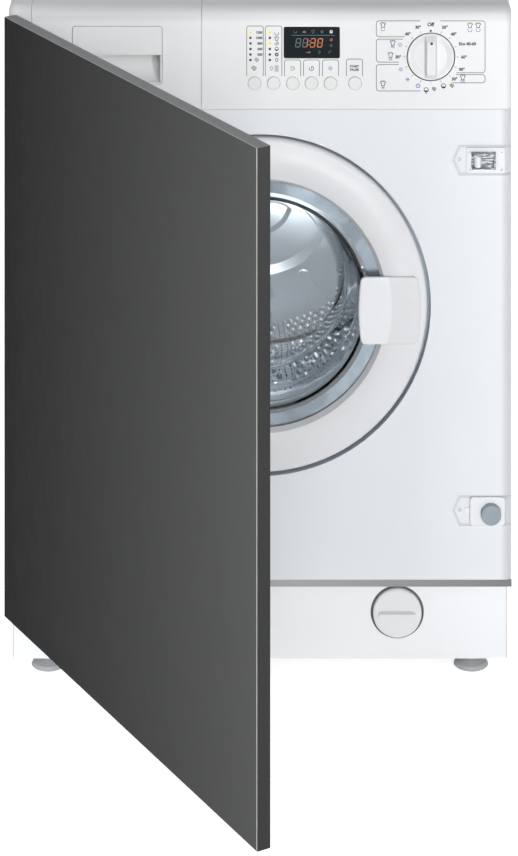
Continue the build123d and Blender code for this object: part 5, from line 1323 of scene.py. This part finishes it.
TUB_PLASTIC = Moulding("filled tub plastic", tint("a2a5a8"), 0.55, 0.0001)
GREY_PLASTIC = Moulding("grey moulding", tint("6f7376"), 0.45)
BLACK_PLASTIC = Moulding("black moulding", tint("222324"), 0.42)
GLASS = ClearGlass("pressed clear glass", (0.86, 0.90, 0.93), 0.02)
DARK_INK = PrintInk("dark grey print", tint("27272a"), 0.5)
GREY_INK = PrintInk("mid grey print", tint("727271"), 0.5)
BLUE_INK = PrintInk("pale blue print", tint("8794c8"), 0.5)
GHOST = PrintInk("unlit display print", tint("666e6d"), 0.5)
AMBER = Lamp("amber lamp", tint("e2b33c"), 0.4, 0.35)
HALO = Lamp("amber halo", tint("f3e7c0"), 0.4, 0.1)
ORANGE = Lamp("orange segments", tint("cc6a35"), 0.4, 0.42)
ICE = Lamp("white display sign", tint("c8ced2"), 0.4, 0.3)
TEAL = Lamp("blue display line", tint("2f5f7d"), 0.4, 0.25)


# The sub-assemblies

@dataclass
class Studio:
    """Pale floor, plain soft light and the camera of the photograph."""

    distance: float = 3.485
    height: float = 1.6957
    side: float = -1.1 * MM
    focal_pixels: float = 2950.0
    picture_height: float = 856.0
    horizon: float = -736.0
    floor_colour: Colour = field(default_factory=lambda: tint("f4f4f4"))
    floor_reach: float = 14.0
    sky_colour: Colour = (0.94, 0.97, 1.0)
    sky_front: float = 0.76
    sky_back: float = 1.5
    sky_side: float = 0.05

    def build(self) -> None:
        """Sets the colour handling and builds the floor, the lamps and the camera."""
        bpy.context.scene.view_settings.view_transform = "Standard"
        self.floor()
        self.world()
        self.lamp("front", "AREA", (0.3, -4.6, 2.1), (0.05, 0.0, 0.45), 52.0, size=1.8)
        self.lamp("low front", "AREA", (0.6, -4.6, 0.15), (0.1, 0.0, 0.2), 102.0, size=1.4)
        self.lamp("side", "AREA", (-0.6, -1.6, 0.5), (-0.1, -0.4, 0.4), 6.5, size=0.5)
        self.lamp("drawer light", "SPOT", (1.6, -3.2, 1.6), (-0.25, 0.0, 0.765), 215.0,
                  spot_size=math.radians(9.0), spot_blend=1.0, shadow_soft_size=0.15)
        self.lamp("drum light", "AREA", (0.06, 0.122, 0.645), (0.0, 0.36, 0.40), 1.4, size=0.06)
        self.camera()

    def floor(self) -> None:
        """A wide pale floor that is white to the camera where no shadow falls."""
        mesh = bpy.data.meshes.new("floor")
        r = self.floor_reach
        mesh.from_pydata([(-r, -r, 0), (r, -r, 0), (r, r, 0), (-r, r, 0)], [], [(0, 1, 2, 3)])
        floor = bpy.data.objects.new("floor", mesh)
        bpy.context.collection.objects.link(floor)
        mesh.materials.append(PaleFloor("pale floor", self.floor_colour, 0.8).material())

    def world(self) -> None:
        """A pale sky, brightest behind and in front, and white to camera, gloss and glass."""
        world = bpy.data.worlds.new("soft white room")
        bpy.context.scene.world = world
        world.use_nodes = True
        nodes, links = world.node_tree.nodes, world.node_tree.links
        ambient, output = nodes["Background"], nodes["World Output"]
        ambient.inputs["Color"].default_value = (*self.sky_colour, 1.0)
        way = nodes.new("ShaderNodeSeparateXYZ")
        links.new(nodes.new("ShaderNodeTexCoord").outputs["Generated"], way.inputs[0])
        both = nodes.new("ShaderNodeMath")
        for added, (end, bright) in zip(both.inputs, ((-1.0, self.sky_front), (1.0, self.sky_back))):
            share = nodes.new("ShaderNodeMapRange")
            for slot, number in zip(RANGE_SLOTS, (0.0, end, self.sky_side, bright)):
                share.inputs[slot].default_value = number
            links.new(way.outputs[1], share.inputs["Value"])
            links.new(share.outputs["Result"], added)
        links.new(both.outputs[0], ambient.inputs["Strength"])
        white = nodes.new("ShaderNodeBackground")
        white.inputs["Color"].default_value = (1.0, 1.0, 1.0, 1.0)
        path = nodes.new("ShaderNodeLightPath")
        seen = path.outputs["Is Glossy Ray"]
        for kind in ("Is Transmission Ray", "Is Camera Ray"):
            either = nodes.new("ShaderNodeMath")
            either.operation = "MAXIMUM"
            links.new(seen, either.inputs[0])
            links.new(path.outputs[kind], either.inputs[1])
            seen = either.outputs[0]
        choice = nodes.new("ShaderNodeMixShader")
        for socket, slot in zip((seen, ambient.outputs[0], white.outputs[0]), choice.inputs):
            links.new(socket, slot)
        links.new(choice.outputs[0], output.inputs["Surface"])

    def lamp(self, name: str, kind: str, place: Sequence[float], target: Sequence[float], power: float,
             **sizes: float) -> None:
        """Hangs one lamp with a soft border.

        Args:
            name: the lamp's name.
            kind: AREA for a square lamp, SPOT for a narrow cone.
            place: where it hangs.
            target: the point that it faces.
            power: its power in watts.
            sizes: the light's own sizes and softness.
        """
        data = bpy.data.lights.new(name, kind)
        data.energy = power
        for key, value in sizes.items():
            setattr(data, key, value)
        lamp = bpy.data.objects.new(name, data)
        bpy.context.collection.objects.link(lamp)
        lamp.location = place
        lamp.rotation_euler = (Vector(place) - Vector(target)).to_track_quat("Z", "Y").to_euler()

    def camera(self) -> None:
        """Stands the camera in front of the door, looking down with upright lines kept upright.

        It hangs from a stand by a sheared mount, which acts on the picture as a shifted lens does.
        A view that takes the camera off its stand has no shear, so upright lines converge in it.
        """
        drop = math.atan((self.picture_height / 2 - self.horizon) / self.focal_pixels)
        data = bpy.data.cameras.new("camera")
        camera = bpy.data.objects.new("camera", data)
        stand = bpy.data.objects.new("camera stand", None)
        for thing in (camera, stand):
            bpy.context.collection.objects.link(thing)
        stand.location = (self.side, -self.distance, self.height)
        camera.parent = stand
        mount = Matrix(((1, 0, 0), (0, 0, 1), (0, -math.cos(drop), math.sin(drop)))).transposed()
        camera.matrix_parent_inverse = mount.to_4x4()
        data.lens = self.focal_pixels / math.cos(drop) / self.picture_height * data.sensor_width
        bpy.context.scene.camera = camera


@dataclass(frozen=True)
class PaleFloor(Finish):
    """A matt floor that shows the object's shadow on white."""

    lift: float = 0.7

    def dress(self, shade: Shade) -> None:
        """Adds a barely uneven tone, and lifts it to white for camera, gloss and glass."""
        self.mottled(shade, 1.5, 0.01)
        shade.fix(Roughness=self.roughness, Specular_IOR_Level=0.1)
        path = shade.nodes.new("ShaderNodeLightPath")
        seen = shade.maths("MAXIMUM", path.outputs["Is Camera Ray"], path.outputs["Is Glossy Ray"])
        seen = shade.maths("MAXIMUM", seen, path.outputs["Is Transmission Ray"])
        white = shade.nodes.new("ShaderNodeEmission")
        shade.feed(white.inputs["Strength"], shade.maths("MULTIPLY", seen, self.lift))
        both = shade.nodes.new("ShaderNodeAddShader")
        for part, slot in zip((shade.surface, white), both.inputs):
            shade.links.new(part.outputs[0], slot)
        shade.links.new(both.outputs[0], shade.output.inputs["Surface"])


@dataclass
class Cabinet:
    """The sheet-metal cabinet: sides, back, top, front panel and base."""

    rear_screw_x: float = 284.0
    rear_screw_rows: tuple[float, ...] = (60, 250, 450, 700, 790)
    cover_screw_x: float = 178.0
    cover_screw_rows: tuple[float, ...] = (90, 360, 630)

    def build(self) -> None:
        """Dresses the sheets and adds the screws that hold them."""
        paint(WHITE_ENAMEL, "side_panels")
        paint(GALVANISED, "rear_panel", "rear_cover", "top_plate", "top_rails")
        paint(FRONT_ENAMEL, "front_panel")
        paint(BASE_ENAMEL, "base_frame")
        self.screws()

    def screws(self) -> None:
        """Adds the rows of screws at the left and right of the rear panel and its cover."""
        for node, name, x, rows in (
                ("rear_panel", "rear_screws", self.rear_screw_x, self.rear_screw_rows),
                ("rear_cover", "rear_cover_screws", self.cover_screw_x, self.cover_screw_rows)):
            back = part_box(node)[1].y
            places = [Vector((side * x * MM, back, z * MM)) for side in (-1, 1) for z in rows]
            ScrewSet(name, "cabinet", places, Vector((0, 1, 0))).build()


@dataclass
class Programme:
    """One printed word beside the knob: its text, its middle and its height in millimetres."""

    text: str
    x: float
    z: float
    height: float = 3.4


@dataclass
class ControlFascia:
    """The fascia with its printing, lamps, display, buttons and programme knob."""

    face_y: float = -0.06
    lamp_rows: tuple[float, ...] = (787.9, 781.5, 774.9, 768.3, 761.8, 755.3)
    lamp_columns: tuple[float, float] = (-11.2, 11.7)
    lit: tuple[tuple[int, int], ...] = ((0, 0), (1, 0), (1, 2))
    lit_radius: float = 1.35
    halo_radius: float = 2.5
    unlit_radius: float = 1.55
    spins: tuple[str, ...] = ("1200", "1000", "800", "600", "500")
    spin_x: float = 2.9
    spin_height: float = 2.7
    start_x: float = 111.6
    start_height: float = 2.5
    option_x: float = 19.8
    option_rows: tuple[float, ...] = (786.6, 780.6, 774.9, 768.3, 761.8, 755.3)
    options: tuple[Sign, ...] = (Sign.TUB, Sign.SHIRT, Sign.CLOCK, Sign.HALF_TUB, Sign.RING, Sign.DROP)
    knob_x: float = 202.0
    knob_z: float = 759.0
    tick: tuple[float, float] = (30.2, 32.6)
    tick_width: float = 0.5
    frame_width: float = 0.85
    arches: tuple[tuple[float, float, float], ...] = (
        (-15.6, 4.0, 795.5), (6.3, 25.9, 795.5), (29.1, 48.2, 755.4), (51.5, 70.3, 755.4),
        (73.9, 92.9, 755.4), (102.2, 121.3, 756.4))
    arch_low: float = 736.4
    figure_z: float = 775.6
    slant: float = 0.15
    words: tuple[Programme, ...] = (
        Programme("Off", 201.6, 797.4, 4.0), Programme("20°", 218.4, 794.1),
        Programme("40°", 228.9, 786.0), Programme("Eco 40-60", 245.2, 774.5),
        Programme("60°", 241.1, 758.9), Programme("90°", 238.5, 744.2), Programme("30°", 229.9, 733.0),
        Programme("30°", 186.8, 794.1), Programme("40°", 174.7, 786.1), Programme("30°", 163.3, 759.0))

    def build(self) -> None:
        """Dresses the mouldings and prints the fascia."""
        paint(FASCIA_WHITE, "control_fascia")
        paint(TINTED, "display_window")
        paint(BUTTON_WHITE, *[f"button_{i}" for i in range(1, 7)])
        paint(KNOB_WHITE, "programme_knob")
        for step in (self.dark_print, self.grey_print, self.blue_print, self.lamps, self.display,
                     self.knob_mark):
            step()

    def layer(self, name: str, ink: Finish, out: float = 0.0) -> Printing:
        """Starts a layer of printing at the fascia's face, or out millimetres behind it."""
        return Printing(name, ink, "cabinet", "fascia_white", self.face_y + out)

    def signs(self, layer: Printing, rows: Iterable[tuple[Sign, float, float, float, float]]) -> None:
        """Prints signs.

        Args:
            layer: the layer.
            rows: each sign with its middle, its height and its line width.
        """
        writer = SignWriter(layer)
        for row in rows:
            writer.draw(*row)

    def dark_print(self) -> None:
        """Prints the words, the ticks and the dark signs."""
        layer = self.layer("fascia_print_dark", DARK_INK)
        for word in self.words:
            layer.words(word.text, word.x, word.z, word.height)
        for text, z in zip(self.spins, self.lamp_rows):
            layer.words(text, self.spin_x, z, self.spin_height, "RIGHT")
        for text, z in (("START", 747.9), ("PAUSE", 743.9)):
            layer.words(text, self.start_x, z, self.start_height)
        layer.disc(201.8, 789.8, 1.35)
        for i in (*range(1, 8), *range(9, 16)):
            angle = math.radians(90 - 22.5 * i)
            layer.line([(self.knob_x + r * math.cos(angle), self.knob_z + r * math.sin(angle))
                        for r in self.tick], self.tick_width)
        rows = [(Sign.SPIRAL, -3.0, 755.4, 5.2, 0.6), (Sign.SPIRAL, -6.0, 745.4, 6.2, 0.75)]
        rows += [(sign, self.option_x, z, 4.8, 0.7) for z, sign in zip(self.option_rows, self.options)]
        rows += [(Sign.SHIELD, 38.6, 745.4, 5.0, 0.5), (Sign.CLOCK, 60.9, 745.4, 6.0, 0.7)]
        rows += [(Sign.SHIRT, x, z, 6.2, 0.8) for x, z in (
            (145.4, 796.6), (156.9, 775.6), (154.3, 761.2), (145.4, 727.6), (248.2, 796.2), (257.8, 796.2),
            (239.6, 734.9))]
        rows += [(Sign.HALF_TUB, x, z, 6.2, 0.8) for x, z in ((196.4, 720.0), (216.9, 724.7))]
        rows += [(Sign.SPIRAL, x, z, 5.2, 0.8) for x, z in ((206.6, 721.0), (227.6, 724.9))]
        self.signs(layer, rows)
        layer.lay()

    def grey_print(self) -> None:
        """Prints the rounded frames round the groups of signs."""
        layer = self.layer("fascia_print_grey", GREY_INK)
        for left, right, top in self.arches:
            self.arch(layer, left, right, top)
        for frame_line in ((137.5, 189.5, 171.2, 801.6, 782.8), (137.5, 168.8, 164.1, 780.0, 752.8),
                           (137.5, 164.1, 189.5, 750.0, 718.8), (266.0, 213.2, 232.0, 801.6, 740.3),
                           (266.0, 231.6, 226.8, 738.2, 728.4)):
            self.bracket(layer, *frame_line)
        self.signs(layer, [(Sign.LIST, 19.6, 745.4, 7.0, 0.6)])
        layer.lay()

    def arch(self, layer: Printing, left: float, right: float, top: float) -> None:
        """Prints a frame that is open below, with rounded upper corners.

        Args:
            layer: the layer.
            left: its left side.
            right: its right side.
            top: its upper line's height.
        """
        low, bend = self.arch_low, 2.4
        corners = [(left, low), (left, top - bend), (left + bend * 0.3, top - bend * 0.3),
                   (left + bend, top), (right - bend, top), (right - bend * 0.3, top - bend * 0.3),
                   (right, top - bend), (right, low)]
        layer.line(corners, self.frame_width)

    def bracket(self, layer: Printing, back: float, upper: float, lower: float, top: float,
                low: float) -> None:
        """Prints a frame that is open towards the knob.

        Args:
            layer: the layer.
            back: the frame's closed side.
            upper: where its upper line ends.
            lower: where its lower line ends.
            top: its upper line's height.
            low: its lower line's height.
        """
        bend = 3.0 if upper > back else -3.0
        rise = abs(bend)
        corners = [(upper, top), (back + bend, top), (back + bend * 0.3, top - rise * 0.3),
                   (back, top - rise), (back, low + rise), (back + bend * 0.3, low + rise * 0.3),
                   (back + bend, low), (lower, low)]
        layer.line(corners, self.frame_width)

    def blue_print(self) -> None:
        """Prints the pale blue signs of gentle and water programmes."""
        layer = self.layer("fascia_print_blue", BLUE_INK)
        self.signs(layer, [(sign, x, z, size, 0.75) for sign, x, z, size in (
            (Sign.SUN, 165.6, 773.3, 5.6), (Sign.SUN, 166.3, 744.3, 5.2),
            (Sign.STAR, 174.5, 732.4, 5.4), (Sign.RING, 186.8, 724.8, 6.0),
            (Sign.WAVES, 156.9, 770.8, 4.4), (Sign.WAVES, 154.3, 756.2, 4.2),
            (Sign.TUB, 145.4, 791.6, 4.6), (Sign.WAVES, 145.4, 722.6, 3.6),
            (Sign.TUB, 248.2, 790.6, 5.0), (Sign.TUB, 257.8, 790.6, 5.0),
            (Sign.WAVES, 239.6, 730.2, 5.4), (Sign.SUN, 83.2, 745.4, 5.6),
            (Sign.DROP, 13.6, 745.6, 5.0))])
        layer.line([(202.0, 729.9), (202.0, 726.4)], 0.4)
        layer.disc(196.4, 715.9, 0.9)
        layer.lay()

    def lamps(self) -> None:
        """Sets the small lamps beside the spin speeds and the options."""
        amber = self.layer("lamps_lit", AMBER)
        halo = self.layer("lamps_halo", HALO, 0.03)
        dark = self.layer("lamps_unlit", DARK_INK)
        for column, x in enumerate(self.lamp_columns):
            for row, z in enumerate(self.lamp_rows):
                if (column, row) in self.lit:
                    amber.disc(x, z, self.lit_radius)
                    halo.disc(x, z, self.halo_radius)
                else:
                    dark.disc(x, z, self.unlit_radius)
        for layer in (amber, halo, dark):
            layer.lay(0.04)

    def display(self) -> None:
        """Shows the time in slanted seven-bar figures, with the signs round it."""
        lit = self.layer("display_figures_lit", ORANGE, -0.02)
        ghost = self.layer("display_figures_unlit", GHOST)
        for shown, x in zip(" 130", (45.2, 53.6, 62.4, 71.0)):
            self.figure(ghost, "8", x)
            self.figure(lit, shown, x)
        for z in (773.4, 777.8):
            lit.disc(58.4 + (z - self.figure_z) * self.slant, z, 0.6, 10)
        self.signs(ghost, [(Sign.TUB, 41.8, 788.7, 3.6, 0.35), (Sign.SHIRT, 62.8, 788.7, 3.6, 0.35),
                           (Sign.RING, 73.4, 788.7, 3.6, 0.35), (Sign.CLOCK, 84.0, 772.6, 3.0, 0.4),
                           (Sign.DROP, 70.2, 764.5, 3.8, 0.45), (Sign.TAP, 82.4, 764.4, 4.2, 0.5)])
        self.signs(lit, [(Sign.WAVES, 52.4, 788.5, 3.6, 0.4), (Sign.KEY, 57.2, 764.4, 4.0, 0.35),
                         (Sign.CLOCK, 84.2, 779.4, 3.4, 0.4)])
        ice = self.layer("display_sign_bright", ICE)
        self.signs(ice, [(Sign.RING, 84.2, 788.7, 3.9, 0.55)])
        line = self.layer("display_line", TEAL)
        line.line([(37.4, 784.5), (88.6, 784.5)], 0.6)
        for layer in (lit, ghost, ice, line):
            layer.lay(0.03)

    def figure(self, layer: Printing, which: str, x: float) -> None:
        """Prints one slanted seven-bar figure.

        Args:
            layer: the layer.
            which: the figure, or a space for none.
            x: its middle, across.
        """
        bars = {"8": "abcdefg", "1": "bc", "3": "abcdg", "0": "abcdef", " ": ""}[which]
        wide, high, thick, gap = 2.6, 4.9, 0.85, 0.35
        ends = {"a": ((-wide, high), (wide, high)), "b": ((wide, high), (wide, 0)),
                "c": ((wide, 0), (wide, -high)), "d": ((-wide, -high), (wide, -high)),
                "e": ((-wide, -high), (-wide, 0)), "f": ((-wide, 0), (-wide, high)),
                "g": ((-wide, 0), (wide, 0))}
        for bar in bars:
            start, end = (Vector(p) for p in ends[bar])
            way = (end - start).normalized()
            start, end = start + way * gap, end - way * gap
            layer.line([(x + p.x + p.y * self.slant, self.figure_z + p.y) for p in (start, end)], thick)

    def knob_mark(self) -> None:
        """Prints the pointer dot on the knob's grip bar."""
        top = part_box("programme_knob")[0].y / MM
        mark = Printing("knob_mark", DARK_INK, "knob", "knob_white", top - 0.04)
        mark.disc(self.knob_x + 0.4, self.knob_z + 17.6, 1.7)
        mark.lay(0.3)


@dataclass
class Dispenser:
    """The detergent drawer with its fascia length and housing."""

    def build(self) -> None:
        """Dresses the drawer and its surroundings."""
        paint(PANEL_WHITE, "dispenser_fascia", "detergent_drawer")
        paint(GREY_PLASTIC, "dispenser_housing")


@dataclass
class Porthole:
    """The porthole: white ring, inner ring, glass bowl, handle, latch, lock, hinge and bellows."""

    lip_back: float = 42.0 * MM
    tub_mouth: float = 76.0 * MM

    def build(self) -> None:
        """Dresses the porthole's pieces and the bellows behind it."""
        paint(RING_WHITE, "door_ring")
        paint(INNER_GREY, "door_inner_ring")
        paint(GLASS, "door_glass")
        paint(HANDLE_WHITE, "door_handle")
        paint(BRIGHT_STEEL, "latch_hook", "porthole_hinge_bracket")
        paint(BLACK_PLASTIC, "door_lock")
        paint(GASKET_RUBBER, "door_gasket")
        bending("door_gasket", "door_bellows")


@dataclass
class WashUnit:
    """The hanging wash unit: tub, drum, drive, heater, dryer and weights."""

    spring_top: float = 797.0 * MM
    spring_foot: float = 606.0 * MM

    def build(self) -> None:
        """Dresses every inner piece."""
        paint(DRUM_STEEL, "drum_shell")
        paint(PADDLE_STEEL, "drum_paddles")
        paint(CAST_ALUMINIUM, "drum_spider", "drum_pulley")
        paint(TUB_PLASTIC, "tub_front", "tub_rear", "dryer_duct")
        paint(CAST_CONCRETE, "counterweights")
        paint(MOTOR_IRON, "drive_motor")
        paint(BRIGHT_STEEL, "tub_bearings", "heater", "motor_pulley", "damper_rods", "suspension_springs")
        paint(BELT_RUBBER, "drive_belt")
        paint(BLACK_PLASTIC, "damper_cylinders")
        paint(GREY_PLASTIC, "fan_wheel")
        bending("suspension_springs", "hanging_springs")


@dataclass
class FurnitureDoor:
    """The furniture door with its hinge cups, strike and the hardware on the machine's front."""

    def build(self) -> None:
        """Dresses the door and its hardware."""
        paint(LAMINATE, "furniture_panel")
        paint(BRIGHT_STEEL, "furniture_fittings", "furniture_hinge_arms")
        paint(CATCH_STEEL, "door_catch")
        paint(COVER_WHITE, "buffer_cover", "catch_roller")
        paint(PAD_RUBBER, "buffer_pad")


@dataclass
class Fittings:
    """Feet, filter, pump and the water, drain and mains fittings on the rear."""

    def build(self) -> None:
        """Dresses the fittings."""
        paint(FOOT_GREY, *[f"foot_{i}" for i in range(1, 5)])
        paint(PANEL_WHITE, "filter_cap")
        paint(GREY_PLASTIC, "drain_pump", "drain_outlet")
        paint(BLACK_PLASTIC, "water_inlet_valve", "cable_gland")


def main() -> None:
    logging.basicConfig(level=logging.INFO, format="%(name)s: %(message)s")
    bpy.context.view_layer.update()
    for group in (Studio(), Cabinet(), ControlFascia(), Dispenser(), Porthole(), WashUnit(),
                  FurnitureDoor(), Fittings()):
        LOG.info("building %s", type(group).__name__)
        group.build()


if __name__ == "__main__":
    main()
